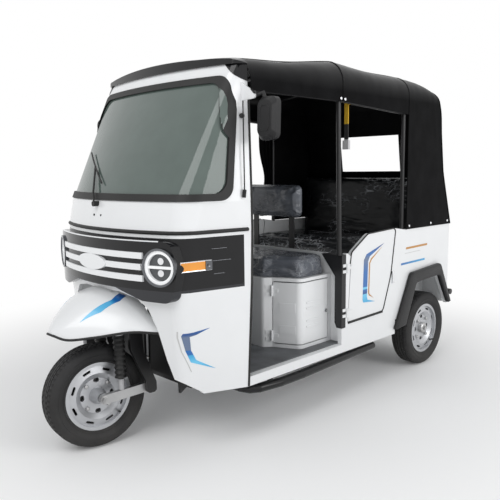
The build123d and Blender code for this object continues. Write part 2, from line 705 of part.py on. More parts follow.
bench_back = [
    (BENCH_BACK_Y[0], BENCH_Z),
    (BENCH_BACK_Y[1], BENCH_Z),
    (BENCH_BACK_Y[1], BENCH_SEAT_Z),
    (BENCH_BACK_Y[1] - 22, BENCH_BACK_Z, 30),
    (BENCH_BACK_Y[0] + 30, BENCH_BACK_Z, 30),
    (BENCH_BACK_Y[0], BENCH_SEAT_Z),
]
node("passenger_backrest", side_prism(bench_back, cushion_x))

# Body sides, rear panel and wheel flares
DOOR = [
    (-926.0, 464.0, 12),
    (-574.0, 469.0, 40),
    (-492.0, 681.0),
    (-444.0, 968.0, 24),
    (-740.0, 955.0, 60),
    (-898.0, 862.0, 30),
]
ARCH_IN = [(-365.0, 290.0), (-222.0, 600.0, 40), (76.0, 614.0, 40), (222.0, 390.0), (260.0, 290.0)]
FLARE_OUT = [(-456.0, 330.0), (-278.0, 672.0, 40), (92.0, 694.0, 40), (254.0, 402.0)]
FLARE_X = 602.0


def grown(corners, by, centre):
    """The outline pushed outwards from its middle by about the given amount."""
    out = []
    for c in corners:
        a, b = c[0] - centre[0], c[1] - centre[1]
        far = math.hypot(a, b)
        out.append((c[0] + a / far * by, c[1] + b / far * by) + tuple(c[2:]))
    return out


door_hole = grown(DOOR, DOOR_GAP * 1.3, (-690, 700))
side = side_prism(
    [
        (B_POST_Y + 14, SILL_Z),
        (REAR_Y, SILL_Z),
        (REAR_Y, BODY_TOP_Z),
        (QUARTER_Y, BODY_TOP_Z),
        (-452.0, BODY_TOP_Z + 18),
        (-690.0, 700.0),
        (-936.0, PARTITION_TOP_Z + 7),
        (B_POST_Y + 14, PARTITION_TOP_Z + 7),
    ],
    (HALF_W - WALL, HALF_W),
)
side -= side_prism(door_hole, (500, 700))
side -= side_prism(grown(ARCH_IN, 18, (0, 400)), (500, 700))
side -= box((500, 700), (KICK_Y[0] + 40, 400), (0, 390))
side -= box((500, 700), (B_POST_Y, PARTITION_Y + 0.01), (438, 1000))
node("body_side_left", side)
for solid in both(side) + both(post):
    top_frame -= solid
node("canopy_frame", top_frame)
node("body_side_right", mirror(side, about=Plane.YZ))
rear = box((-HALF_W + WALL, HALF_W - WALL), (REAR_Y - WALL, REAR_Y), (REAR_LOW_Z, BODY_TOP_Z))
PLATE_HOLE_R, PLATE_HOLE_X, PLATE_HOLE_Z = 3.3, 70.0, 560.0
for x in (PLATE_HOLE_X, -PLATE_HOLE_X):
    outside = (x, REAR_Y + 5, PLATE_HOLE_Z)
    rear -= rod(outside, (x, REAR_Y - WALL - 5, PLATE_HOLE_Z), PLATE_HOLE_R)
node("rear_panel", rear)
flare = side_prism(FLARE_OUT, (HALF_W, FLARE_X)) - side_prism(ARCH_IN, (500, 700))
node("wheel_flares", both(flare))

# Passenger half doors
HINGE_X = HALF_W + HINGE_R
HINGE_Z = ((500.0, 550.0), (754.0, 804.0))


def knuckle(z, radius):
    """A round piece on the left door's hinge line."""
    return rod((HINGE_X, DOOR_HINGE_Y, z[0]), (HINGE_X, DOOR_HINGE_Y, z[1]), radius)


door = side_prism(DOOR, (HALF_W - DOOR_T, HALF_W))
hinge = []
for z0, z1 in HINGE_Z:
    third = (z1 - z0) / 3
    eye = (z0 + third + PIN_CLEAR, z1 - third - PIN_CLEAR)
    leaf = box((HALF_W, HALF_W + 4), (DOOR_HINGE_Y, DOOR[0][0] + 40), eye)
    barrel = knuckle(eye, HINGE_R) + leaf
    door += barrel - knuckle((z0 - 5, z1 + 5), PIN_R + PIN_CLEAR)
    fixed = knuckle((z0, z1), PIN_R)
    for low, high in ((z0, z0 + third), (z1 - third, z1)):
        fixed += knuckle((low, high), HINGE_R)
        fixed += box((HALF_W, HALF_W + 4), (PARTITION_Y - 30, DOOR_HINGE_Y), (low, high))
    hinge.append(fixed)
door -= box((HALF_W - DOOR_T - 5, HALF_W), (-1000, DOOR[0][0] - 2), (400, 1000))
node("door_left", door)
node("door_right", mirror(door, about=Plane.YZ))
node("door_hinges", both(hinge[0]), both(hinge[1]))

# Hatch over the battery, hung on its front edge
hatch = box_outer - plan_prism(inset_plan(BOX_PLAN, HATCH_T), (FLOOR_Z - 1, BOX_TOP_Z + 1))
hatch &= box((BOX_PLAN[2][0] + HATCH_GAP, 600), (-1400.0, PARTITION_Y - 28 - HATCH_GAP),
             (HATCH_Z[0] + HATCH_GAP, HATCH_Z[1] - HATCH_GAP))
HATCH_PIN = (BOX_PLAN[2][0] + 6, BOX_PLAN[2][1] - 8.0)
HATCH_HINGE_Z = ((386.0, 446.0), (640.0, 700.0))
box_side, box_corner, box_front = [Vector(*corner[:2], 0) for corner in BOX_PLAN[1:]]
hatch_face = (box_side - box_corner).normalized()
hatch_out = Vector(hatch_face.Y, -hatch_face.X, 0)
cheek = (box_front - box_corner).normalized()
cheek_out = Vector(-cheek.Y, cheek.X, 0)
LEAF_L, LEAF_T = 34.0, 4.0


def hatch_leaf(z, along, out):
    """A hinge leaf lying on a face of the box beside the pin."""
    pin = Vector(*HATCH_PIN, 0)
    foot = pin - out * (pin - box_corner).dot(out)
    a, b = foot + out * LEAF_T, foot + along * LEAF_L + out * LEAF_T
    under = out * (LEAF_T + 3)
    corners = [(p.X, p.Y) for p in (a, b, b - under, a - under)]
    return plan_prism(corners, z) - box_outer


hatch_fixed = []
for z0, z1 in HATCH_HINGE_Z:
    third = (z1 - z0) / 3
    eye = (z0 + third + PIN_CLEAR, z1 - third - PIN_CLEAR)
    barrel = rod((*HATCH_PIN, eye[0]), (*HATCH_PIN, eye[1]), HINGE_R)
    barrel += hatch_leaf(eye, hatch_face, hatch_out)
    hatch += barrel - rod((*HATCH_PIN, z0 - 5), (*HATCH_PIN, z1 + 5), PIN_R + PIN_CLEAR)
    fixed = rod((*HATCH_PIN, z0), (*HATCH_PIN, z1), PIN_R)
    for low, high in ((z0, z0 + third), (z1 - third, z1)):
        fixed += rod((*HATCH_PIN, low), (*HATCH_PIN, high), HINGE_R)
        fixed += hatch_leaf((low, high), cheek, cheek_out)
    hatch_fixed.append(fixed)
# Pressed panels on the hatch's front face and pressed louvres on its side
PRESSED_Z = ((429.0, 475.0), (549.0, 601.0))
PRESSED_W, PRESSED_PROUD = 92.0, 2.5
LOUVRES_Z = (468.0, 500.0, 570.0, 602.0)
LOUVRE_Y, LOUVRE_H = (-1168.0, -1056.0), 9.0
face_mid = (box_side + box_corner) * 0.5 + hatch_face * 6
for z0, z1 in PRESSED_Z:
    at = Plane(origin=(face_mid.X, face_mid.Y, (z0 + z1) / 2), x_dir=hatch_face, z_dir=hatch_out)
    hatch += at * Pos(0, 0, -1) * Box(PRESSED_W, z1 - z0, 2 * PRESSED_PROUD + 2)
for z in LOUVRES_Z:
    x = (box_side.X - HATCH_T / 2, BOX_PLAN[0][0] + PRESSED_PROUD)
    hatch += box(x, LOUVRE_Y, (z - LOUVRE_H / 2, z + LOUVRE_H / 2))
node("battery_hatch", hatch)
node("hatch_hinges", hatch_fixed)

# Side steps
STEP_Z, STEP_R = 250.0, 24.0
# Plan of the left step, front to rear
STEP_RUN = (
    (385, -1664),
    (450, -1664),
    (500, -1646),
    (527, -1604),
    (546, -1470),
    (547, -1300),
    (510, -600),
    (470, -560),
)
STEP_STRUTS = ((541.0, -1500.0), (515.0, -720.0))
STRUT_R = 12.0
strut_foot = (RAIL_X + RAIL_W / 2, RAIL_TOP - RAIL_H / 2)
steps = []
for s in (1, -1):
    step = tube_run([(s * x, y, STEP_Z) for x, y in STEP_RUN], STEP_R)
    for x, y in STEP_STRUTS:
        step += rod((s * strut_foot[0], y, strut_foot[1]), (s * x, y, STEP_Z), STRUT_R)
    steps.append(step - frame)
node("side_steps", steps)

# Rear axle with its motor, springs, bumper and lamps
AXLE_TUBE_R = 32.0
HUB_FACE_X = TRACK / 2 - 42
axle = rod((-HUB_FACE_X, 0, TYRE_R), (HUB_FACE_X, 0, TYRE_R), AXLE_TUBE_R)
for s in (1, -1):
    axle += rod((s * (HUB_FACE_X - 36), 0, TYRE_R), (s * HUB_FACE_X, 0, TYRE_R), 92)
    axle += rod((s * HUB_FACE_X, 0, TYRE_R), (s * (TRACK / 2 + 22), 0, TYRE_R), AXLE_R + 5)
axle += rod((-110, 0, TYRE_R), (70, 0, TYRE_R), 88)
MOTOR_Y = -150.0
axle += rod((40, MOTOR_Y, TYRE_R), (230, MOTOR_Y, TYRE_R), 70)
axle += box((60, 140), (MOTOR_Y, 0), (TYRE_R - 50, TYRE_R + 50))
node("rear_axle", axle)
SPRING_HALF, SPRING_RISE, SPRING_T = 215.0, 44.0, 26.0
SPRING_W, SHACKLE_L = 50.0, 44.0
spring_z = TYRE_R + AXLE_TUBE_R
end_z = spring_z + SPRING_RISE
leaf_path = ThreePointArc(
    (0, -SPRING_HALF, end_z),
    (0, 0, spring_z + SPRING_T / 2),
    (0, SPRING_HALF, end_z),
)
leaf_plane = Plane(origin=leaf_path @ 0, x_dir=(1, 0, 0), z_dir=leaf_path % 0)
spring = sweep(leaf_plane * Rectangle(SPRING_W, SPRING_T), path=leaf_path)
for y in (SPRING_HALF, -SPRING_HALF):
    shackle_y = (y - SHACKLE_L / 2, y + SHACKLE_L / 2)
    spring += box((-20, 20), shackle_y, (end_z - 14, REAR_RAIL_Z[0]))
spring += box((-30, 30), (-40, 40), (TYRE_R + 10, spring_z + 10))
spring -= rod((-100, 0, TYRE_R), (100, 0, TYRE_R), AXLE_TUBE_R)
spring = Pos(RAIL_X, 0, 0) * spring
node("leaf_springs", both(spring))
BUMPER_Z, BUMPER_R = 461.0, 20.0
BUMPER_Y = REAR_REACH - BUMPER_R
bumper = rod((-572, BUMPER_Y, BUMPER_Z), (572, BUMPER_Y, BUMPER_Z), BUMPER_R)
for s in (1, -1):
    bumper += box((s * RAIL_X - 20, s * RAIL_X + 20), (REAR_Y, BUMPER_Y), (BUMPER_Z - 14, BUMPER_Z + 14))
node("rear_bumper", bumper)
TAIL_X, TAIL_Z, TAIL_PROUD = (410.0, 520.0), (690.0, 790.0), 24.0
tail_view = [(x, z, 14) for x, z in zip(TAIL_X + TAIL_X[::-1], (TAIL_Z[0],) * 2 + (TAIL_Z[1],) * 2)]
tail = front_prism(tail_view, (REAR_Y, REAR_Y + TAIL_PROUD))
node("tail_lamps", both(tail))

# Small fittings
DASH_DEPTH, DASH_BACK_Y, DASH_Z = 75.0, -2050.0, (1070.0, 1150.0)
dash = skin(COWL_LOW, SCREEN_LOW, DASH_DEPTH, SKIN + SEAT_GAP)
node("dashboard", dash & box((-700, 700), (-2200, DASH_BACK_Y), DASH_Z))
MIRROR = [(622.0, 1458.0, 30), (728.0, 1466.0, 30), (734.0, 1650.0, 30), (628.0, 1656.0, 30)]
MIRROR_MID = (678.0, 1557.0)
MIRROR_Y = (-1714.0, -1692.0, -1664.0)
MIRROR_TAPER, MIRROR_EDGE, MIRROR_T = 20.0, 14.0, 4.0
MIRROR_ARM = [(616, -1705, 1660), (652, -1692, 1670), (664, -1688, 1640)]
mirror_faces = []
for y, inset in zip(MIRROR_Y, (MIRROR_TAPER, 0)):
    facing = Plane(origin=(0, y, 0), x_dir=(1, 0, 0), z_dir=(0, -1, 0))
    mirror_faces.append(facing * outline(grown(MIRROR, -inset, MIRROR_MID)))
pane_y = (MIRROR_Y[2] - MIRROR_T, MIRROR_Y[2])
mirror_pane = front_prism(grown(MIRROR, -MIRROR_EDGE, MIRROR_MID), pane_y)
housing_body = loft(mirror_faces) + front_prism(MIRROR, MIRROR_Y[1:])
housing_body += tube_run(MIRROR_ARM, 8) - front_shell
node("mirrors", both(housing_body - mirror_pane))
node("mirror_glass", both(mirror_pane))
aerial = rod((571, -1736, 1210), (566, -1736, 1640), 3)
aerial += rod((566, -1736, 1205), (571, -1736, 1240), 9)
node("antenna", aerial - front_shell)
STRAP_Y, STRAP_T, STRAP_W = -865.0, 6.0, 26.0
STRAP_X = 500.0
strap_y = (STRAP_Y - STRAP_T / 2, STRAP_Y + STRAP_T / 2)
fall = (SKIRT_Z - SKIRT_REAR_Z) * (STRAP_Y - HOOPS[0][0]) / (HOOPS[1][0] - HOOPS[0][0])
rail_z = SKIRT_Z + RAIL_OVER - fall
strap = box((STRAP_X - STRAP_W / 2, STRAP_X + STRAP_W / 2), strap_y, (1480, rail_z + STRAP_T))
strap += box((STRAP_X, POST_X - RAIL_R - PIN_CLEAR), strap_y, (rail_z - STRAP_T, rail_z + STRAP_T))
strap += box((STRAP_X - 20, STRAP_X + 20), (STRAP_Y - 9, STRAP_Y + 9), (1440, 1490))
node("grab_straps", both(strap))

# Steered parts, drawn straight ahead and then turned to the rest angle
STEERED = ("fork", "handlebar", "link_arms", "front_shocks", "front_rim", "front_tyre")
fy, fz = FRONT_AXLE.Y, FRONT_AXLE.Z
crown_mid = on_axis(CROWN_AT)
leg = side_prism(
    [
        (crown_mid.Y + 8, crown_mid.Z + CROWN_H / 2),
        (crown_mid.Y + 66, crown_mid.Z + CROWN_H / 2, 10),
        (fy + 200, fz + 205, 60),
        (fy + LINK_BACK + 26, fz + 40, 20),
        (fy + LINK_BACK + 26, fz - 12, 20),
        (fy + LINK_BACK - 24, fz - 12, 16),
        (fy + LINK_BACK - 28, fz + 45, 20),
        (fy + 132, fz + 225, 60),
    ],
    (LEG_X + 14, LEG_X + 14 + LEG_T),
)
crown_x = (-LEG_X - 14 - LEG_T, LEG_X + 14 + LEG_T)
crown_z = (crown_mid.Z - CROWN_H / 2, crown_mid.Z + CROWN_H / 2)
fork = leg + mirror(leg, about=Plane.YZ)
fork += box(crown_x, (crown_mid.Y - 62, crown_mid.Y + 66), crown_z)
fork += rod(on_axis(CROWN_AT - 10), on_axis(CLAMP_AT), STEM_R)
fork += rod(on_axis(CROWN_AT), on_axis(HEAD_FROM - 6), HEAD_R)
node("fork", fork)
link_z = fz + 15
LINK_X = (LEG_X - 12, LEG_X + 14)
link_end = fy + LINK_BACK + LINK_R
link_view = [
    (fy - LINK_R, fz - LINK_R, 20),
    (link_end, link_z - LINK_R, 20),
    (link_end, link_z + LINK_R, 20),
    (fy - LINK_R, fz + LINK_R, 20),
]
link_arm = side_prism(link_view, LINK_X)
links = link_arm + mirror(link_arm, about=Plane.YZ)
links += rod((-LEG_X - 30, fy, fz), (LEG_X + 30, fy, fz), AXLE_R)
nut_plane = Plane(origin=(LINK_X[1], fy, fz), x_dir=(0, 1, 0), z_dir=(1, 0, 0))
axle_nut = extrude(nut_plane * RegularPolygon(NUT_R, 6), amount=NUT_T)
links += axle_nut + mirror(axle_nut, about=Plane.YZ)
node("link_arms", links)
shock_y = fy + SHOCK_BACK
shock_foot, shock_top = link_z + LINK_R - 8, crown_z[0]
BOOT_Z = (fz + 90, shock_top - 36)
fold = (BOOT_Z[1] - BOOT_Z[0]) / (2 * BOOT_FOLDS)
boot = [(BOOT_R - BOOT_GROOVE * (i % 2), BOOT_Z[0] + fold * i) for i in range(2 * BOOT_FOLDS + 1)]
shock_half = [(0, shock_foot), (SHOCK_R, shock_foot), (SHOCK_R, BOOT_Z[0]), *boot]
shock_half += [(SHOCK_R, BOOT_Z[1]), (SHOCK_R, shock_top), (0, shock_top)]
shock = Pos(LEG_X, shock_y, 0) * revolve(Plane.XZ * outline(shock_half), axis=Axis.Z)
node("front_shocks", both(shock - link_arm))
clamp = on_axis(CLAMP_AT)
bar_half = [
    (0, clamp.Y, clamp.Z),
    (120, clamp.Y, clamp.Z),
    (GRIP_X - 90, clamp.Y + GRIP_BACK - 80, clamp.Z + 16),
    (GRIP_X, clamp.Y + GRIP_BACK, clamp.Z + 10),
]
bar = bent_rod(bar_half, 12, 30)
grip = rod(bar_half[2], bar_half[3], 17)
bars_all = bar + mirror(bar, about=Plane.YZ) + grip + mirror(grip, about=Plane.YZ)
bars_all += rod(on_axis(CLAMP_AT - 26), on_axis(CLAMP_AT + 20), STEM_R + 12)
bars_all -= rod(on_axis(CLAMP_AT - 40), on_axis(CLAMP_AT), STEM_R)
node("handlebar", bars_all)


def tyre():
    """A tyre standing on its own axle along X."""
    half, low = TYRE_W / 2, RIM_OD / 2
    right = [
        (BEAD_HALF, low - BEAD_STEP),
        (BEAD_HALF, low + 2),
        (half, low + 32),
        (half - 4, TYRE_R - 27),
        (TREAD_HALF, TYRE_R),
    ]
    return revolve(outline(mirrored_outline(right)), axis=Axis.X)


def rim():
    """A vented steel wheel with its outer face towards +X."""
    low, edge = RIM_OD / 2, BEAD_HALF + SEAT_GAP
    lip = edge + RIM_LIP
    half_barrel = [(lip, RIM_BORE_R), (lip, low), (edge, low), (edge, low - BEAD_STEP)]
    wheel = revolve(outline(mirrored_outline(half_barrel)), axis=Axis.X)
    bore = AXLE_R + PIN_CLEAR
    disc = [
        (10, bore),
        (26, bore),
        (26, HUB_R - 6),
        (43, HUB_R + 20),
        (36, RIM_BORE_R + 2),
        (36 - RIM_SHEET, RIM_BORE_R + 2),
        (43 - RIM_SHEET, HUB_R + 22),
        (10, HUB_R),
    ]
    wheel += revolve(outline(disc), axis=Axis.X)
    for count, pitch, length, width, first in VENTS:
        cutter = extrude(Plane.YZ * Pos(0, pitch) * SlotOverall(length, width), amount=80)
        for i in range(count):
            wheel -= Rot(first + 360 / count * i, 0, 0) * cutter
    return wheel


HUB_X = (40 - LEG_X, LEG_X - 20)
hub_view = [
    (HUB_X[0], AXLE_R + PIN_CLEAR),
    (HUB_X[1], AXLE_R + PIN_CLEAR),
    (HUB_X[1], 26),
    (40, 40),
    (HUB_X[0], 40),
]
hub = revolve(outline(hub_view), axis=Axis.X)
node("front_rim", Pos(0, fy, fz) * (rim() + hub))
node("front_tyre", Pos(0, fy, fz) * tyre())
rear_bore = rod((-80, 0, 0), (80, 0, 0), AXLE_R + 5 + PIN_CLEAR)
for side_name, s in (("left", 1), ("right", -1)):
    turn = Rot(0, 0, 0 if s > 0 else 180)
    place = Pos(s * TRACK / 2, 0, TYRE_R)
    node(f"rear_rim_{side_name}", place * (turn * (rim() - rear_bore)))
    node(f"rear_tyre_{side_name}", place * (turn * tyre()))

os.makedirs("parts", exist_ok=True)
for name, solids in NODES.items():
    whole = Compound(children=solids)
    if name in STEERED:
        whole = whole.rotate(STEER_AXIS, STEER_REST_DEG)
    export_step(whole.moved(Location((0, SHIFT_Y, 0))), f"parts/{name}.step")

print("shift_y", round(SHIFT_Y, 3), "front_axle_z", round(FRONT_Z, 3))
print("hatch_pin", HATCH_PIN, "door_pin", (HINGE_X, DOOR_HINGE_Y))
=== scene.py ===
# %% [markdown]
# # An electric passenger tricycle, dressed for its portrait
# The solids come from the CAD model, already at their real size and place. This lesson gives each
# of them a finish, makes the soft pieces again as real cloth and padding, and adds the small trim
# that a CAD model leaves out. Lengths are in metres, the nose points to -Y and the side that the
# portrait shows is +X.

# %% Load the frame
import json
import math

import bpy
from mathutils import Matrix, Vector, noise


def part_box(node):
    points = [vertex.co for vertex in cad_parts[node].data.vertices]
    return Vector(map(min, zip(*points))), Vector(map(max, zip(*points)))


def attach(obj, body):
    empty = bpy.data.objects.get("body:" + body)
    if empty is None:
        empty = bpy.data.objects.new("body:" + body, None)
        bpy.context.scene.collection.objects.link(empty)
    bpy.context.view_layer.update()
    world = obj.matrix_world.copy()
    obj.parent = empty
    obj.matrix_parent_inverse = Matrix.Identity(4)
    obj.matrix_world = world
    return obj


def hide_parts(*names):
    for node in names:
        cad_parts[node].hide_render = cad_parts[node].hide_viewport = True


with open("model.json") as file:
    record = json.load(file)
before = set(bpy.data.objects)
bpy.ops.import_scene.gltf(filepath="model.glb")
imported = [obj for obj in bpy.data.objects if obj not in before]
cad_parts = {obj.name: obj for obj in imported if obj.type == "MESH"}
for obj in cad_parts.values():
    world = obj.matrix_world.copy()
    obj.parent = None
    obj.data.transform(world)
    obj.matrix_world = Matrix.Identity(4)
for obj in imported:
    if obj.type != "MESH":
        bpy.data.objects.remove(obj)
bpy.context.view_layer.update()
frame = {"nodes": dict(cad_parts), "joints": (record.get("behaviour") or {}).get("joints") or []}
nodes = frame["nodes"]
bpy.ops.object.select_all(action="DESELECT")
joint_of = {joint["child"]: joint for joint in frame["joints"]}
# the rear axle's station: places below are measured from it
AXLE_Y = joint_of["rear_wheel_left"]["pos_m"][1]

# %% [markdown]
# ## Camera
# The camera stands to the front left at about chest height. Its place and turn were fitted to the
# wheels, the roof line and the door posts, so the object fills the frame as in the picture.

# %% Camera
CAMERA_AT = Vector((2.54963, -2.58467, 1.32629))
TURN, PITCH, ROLL = 0.790983, -0.131342, -0.010292
SENSOR_MM, LENS_MM = 36.0, 43.2
ahead = Vector((-math.sin(TURN) * math.cos(PITCH), math.cos(TURN) * math.cos(PITCH), math.sin(PITCH)))
level = Vector((math.cos(TURN), math.sin(TURN), 0))
upright = level.cross(ahead)
right = level * math.cos(ROLL) + upright * math.sin(ROLL)
up = upright * math.cos(ROLL) - level * math.sin(ROLL)
bpy.ops.object.camera_add(location=CAMERA_AT)
camera = bpy.context.object
camera.rotation_euler = Matrix((right, up, -ahead)).transposed().to_euler()
camera.data.sensor_fit = "HORIZONTAL"
camera.data.sensor_width = SENSOR_MM
camera.data.lens = LENS_MM
bpy.context.scene.camera = camera
bpy.context.scene.view_settings.view_transform = "Standard"
print("camera", [round(v, 3) for v in camera.location])

# %% [markdown]
# ## Node helpers
# The light and the finishes are both trees of nodes. Four makers cover the nodes that come back most.

# %% Node helpers
FLOAT, VECTOR = "NodeSocketFloat", "NodeSocketVector"


def new_group(name, inputs, outputs):
    """A shader node group with float or vector inputs and float outputs."""
    tree = bpy.data.node_groups.new(name, "ShaderNodeTree")
    for label, kind, value in inputs:
        socket = tree.interface.new_socket(label, in_out="INPUT", socket_type=kind)
        if value is not None:
            socket.default_value = value
    for label in outputs:
        tree.interface.new_socket(label, in_out="OUTPUT", socket_type=FLOAT)
    return tree, tree.nodes.new("NodeGroupInput").outputs, tree.nodes.new("NodeGroupOutput").inputs


def feed(tree, socket, value):
    """Give a socket a number, or link it to another socket."""
    if isinstance(value, (int, float)):
        socket.default_value = value
    else:
        tree.links.new(value, socket)


def math_node(tree, operation, a, b=0.0):
    """A math node fed by sockets or numbers."""
    made = tree.nodes.new("ShaderNodeMath")
    made.operation = operation
    feed(tree, made.inputs[0], a)
    feed(tree, made.inputs[1], b)
    return made.outputs[0]


def noise_node(tree, vector, scale, detail=4.0):
    """A noise texture on a vector."""
    made = tree.nodes.new("ShaderNodeTexNoise")
    made.inputs["Detail"].default_value = detail
    tree.links.new(vector, made.inputs["Vector"])
    feed(tree, made.inputs["Scale"], scale)
    return made.outputs


def map_node(tree, value, low, high, to_low=0.0, to_high=1.0, kind="LINEAR"):
    """A value carried from one range to another and held at its ends."""
    made = tree.nodes.new("ShaderNodeMapRange")
    made.interpolation_type = kind
    made.inputs["From Min"].default_value = low
    made.inputs["From Max"].default_value = high
    made.inputs["To Min"].default_value = to_low
    made.inputs["To Max"].default_value = to_high
    tree.links.new(value, made.inputs["Value"])
    return made.outputs[0]


print("node helpers ready")

# %% [markdown]
# ## Studio
# A white room: the world lights everything softly, and what the camera, mirrors and glass see of it
# is plain white. A large lamp above the front and a weaker one beside the camera give the panels
# their shape.

# %% Studio
LIT_COLOUR, LIT_STRENGTH = (0.97, 0.985, 1.0, 1.0), 0.50
SEEN_COLOUR, SEEN_STRENGTH = (1.0, 1.0, 1.0, 1.0), 1.0
FLOOR_SIZE, FLOOR_GREY, FLOOR_ROUGHNESS = 60, (0.95, 0.95, 0.95, 1), 0.9
FADE_FROM, FADE_TO = 0.8, 3.4
LAMPS = (
    # name, place, aim, size, watts
    ("key_lamp", (1.2, -4.2, 4.6), (0, -0.3, 0.8), 3.2, 105),
    ("side_lamp", (5.2, 0.8, 2.6), (0, 0.2, 0.8), 3.0, 100),
)

world = bpy.data.worlds.new("studio")
bpy.context.scene.world = world
world.use_nodes = True
sky = world.node_tree
sky.nodes.clear()
rays = sky.nodes.new("ShaderNodeLightPath").outputs
seen_ray = math_node(sky, "MAXIMUM", rays["Is Camera Ray"], rays["Is Glossy Ray"])
seen_ray = math_node(sky, "MAXIMUM", seen_ray, rays["Is Transmission Ray"])
world_mix = sky.nodes.new("ShaderNodeMixShader")
sky.links.new(seen_ray, world_mix.inputs["Fac"])
for i, colour, strength in ((1, LIT_COLOUR, LIT_STRENGTH), (2, SEEN_COLOUR, SEEN_STRENGTH)):
    glow = sky.nodes.new("ShaderNodeBackground")
    glow.inputs["Color"].default_value = colour
    glow.inputs["Strength"].default_value = strength
    sky.links.new(glow.outputs[0], world_mix.inputs[i])
sky.links.new(world_mix.outputs[0], sky.nodes.new("ShaderNodeOutputWorld").inputs["Surface"])

for name, place, aim, size, watts in LAMPS:
    bpy.ops.object.light_add(type="AREA", location=place)
    lamp = bpy.context.object
    lamp.name = name
    lamp.data.shape = "SQUARE"
    lamp.data.size = size
    lamp.data.energy = watts
    lamp.rotation_euler = (Vector(aim) - Vector(place)).to_track_quat("-Z", "Y").to_euler()

bpy.ops.object.select_all(action="DESELECT")
bpy.ops.mesh.primitive_plane_add(size=FLOOR_SIZE, location=(0, 0, 0))
floor = bpy.context.object
floor.name = "floor"
floor_look = bpy.data.materials.new("studio_floor")
floor_look.use_nodes = True
ground = floor_look.node_tree
matt = ground.nodes["Principled BSDF"]
matt.inputs["Base Color"].default_value = FLOOR_GREY
matt.inputs["Roughness"].default_value = FLOOR_ROUGHNESS
distance = ground.nodes.new("ShaderNodeVectorMath")
distance.operation = "LENGTH"
ground.links.new(ground.nodes.new("ShaderNodeTexCoord").outputs["Object"], distance.inputs[0])
fade = map_node(ground, distance.outputs["Value"], FADE_FROM, FADE_TO, kind="SMOOTHSTEP")
far_white = ground.nodes.new("ShaderNodeEmission")
floor_mix = ground.nodes.new("ShaderNodeMixShader")
for i, source in enumerate((fade, matt.outputs[0], far_white.outputs[0])):
    ground.links.new(source, floor_mix.inputs[i])
ground.links.new(floor_mix.outputs[0], ground.nodes["Material Output"].inputs["Surface"])
floor.data.materials.append(floor_look)

# %% [markdown]
# ## Shared finish groups
# Paint, vinyl and rubber all have a fine texture, and everything near the road has some dust. Each
# effect is one node group with named inputs, so a material only says how coarse or how strong.

# %% Finish groups
TONE_SCALE, DUST_SCALE, PATCH_SCALE, WOBBLE_SCALE = 9.0, 14.0, 3.4, 2.5
WOBBLE, FOLD_STRETCH, TIGHT_FOLDS = (0.25, 0.25, 0.25), (1.0, 1.0, 2.6), 3.3
PATCH_FROM, PATCH_TO, RIDGE_LIFT = 0.45, 0.58, 0.4

grain, g_in, g_out = new_group(
    "fine_grain", [("Vector", VECTOR, None), ("Scale", FLOAT, 300.0)], ["Height", "Tone"]
)
cells = grain.nodes.new("ShaderNodeTexVoronoi")
grain.links.new(g_in["Vector"], cells.inputs["Vector"])
grain.links.new(g_in["Scale"], cells.inputs["Scale"])
fine = noise_node(grain, g_in["Vector"], g_in["Scale"])["Fac"]
grain.links.new(math_node(grain, "ADD", cells.outputs["Distance"], fine), g_out["Height"])
grain.links.new(noise_node(grain, g_in["Vector"], TONE_SCALE, 3.0)["Fac"], g_out["Tone"])

dust, d_in, d_out = new_group(
    "road_dust", [("Vector", VECTOR, None), ("Top", FLOAT, 0.6), ("Amount", FLOAT, 0.3)], ["Mask"]
)
split = dust.nodes.new("ShaderNodeSeparateXYZ")
dust.links.new(d_in["Vector"], split.inputs[0])
low = map_node(dust, math_node(dust, "DIVIDE", split.outputs["Z"], d_in["Top"]), 0.0, 1.0, 1.0, 0.0)
specks = math_node(dust, "MULTIPLY", low, noise_node(dust, d_in["Vector"], DUST_SCALE, 6.0)["Fac"])
dust.links.new(math_node(dust, "MULTIPLY", specks, d_in["Amount"]), d_out["Mask"])

# film creases: a height for the folds' bump, and a mask along their ridges where a white highlight is painted
# into the base colour
crease, c_in, c_out = new_group(
    "film_creases",
    [("Vector", VECTOR, None), ("Scale", FLOAT, 6.0), ("Amount", FLOAT, 0.6)],
    ["Height", "Shine"],
)
flatter = crease.nodes.new("ShaderNodeVectorMath")
flatter.operation = "MULTIPLY"
flatter.inputs[1].default_value = FOLD_STRETCH
crease.links.new(c_in["Vector"], flatter.inputs[0])
push = crease.nodes.new("ShaderNodeVectorMath")
push.operation = "MULTIPLY_ADD"
push.inputs[1].default_value = WOBBLE
crease.links.new(noise_node(crease, flatter.outputs[0], WOBBLE_SCALE, 2.0)["Color"], push.inputs[0])
crease.links.new(flatter.outputs[0], push.inputs[2])
slack = noise_node(crease, push.outputs[0], c_in["Scale"], 2.0)["Fac"]
tight_scale = math_node(crease, "MULTIPLY", c_in["Scale"], TIGHT_FOLDS)
tight = noise_node(crease, push.outputs[0], tight_scale, 2.0)["Fac"]
patch = map_node(crease, noise_node(crease, c_in["Vector"], PATCH_SCALE, 1.0)["Fac"], PATCH_FROM, PATCH_TO)
ridges = []
for folds, width, strength in ((slack, 0.015, 1.0), (tight, 0.035, 0.55)):
    off_line = math_node(crease, "ABSOLUTE", math_node(crease, "SUBTRACT", folds, 0.5))
    ridges.append(map_node(crease, off_line, 0.0, width, strength, 0.0))
ridge = math_node(crease, "MULTIPLY", math_node(crease, "MAXIMUM", *ridges), patch)
raised = math_node(crease, "MULTIPLY", ridge, RIDGE_LIFT)
crease.links.new(math_node(crease, "ADD", slack, raised), c_out["Height"])
crease.links.new(math_node(crease, "MULTIPLY", ridge, c_in["Amount"]), c_out["Shine"])
print("groups", [g.name for g in bpy.data.node_groups if g.type == "SHADER"])
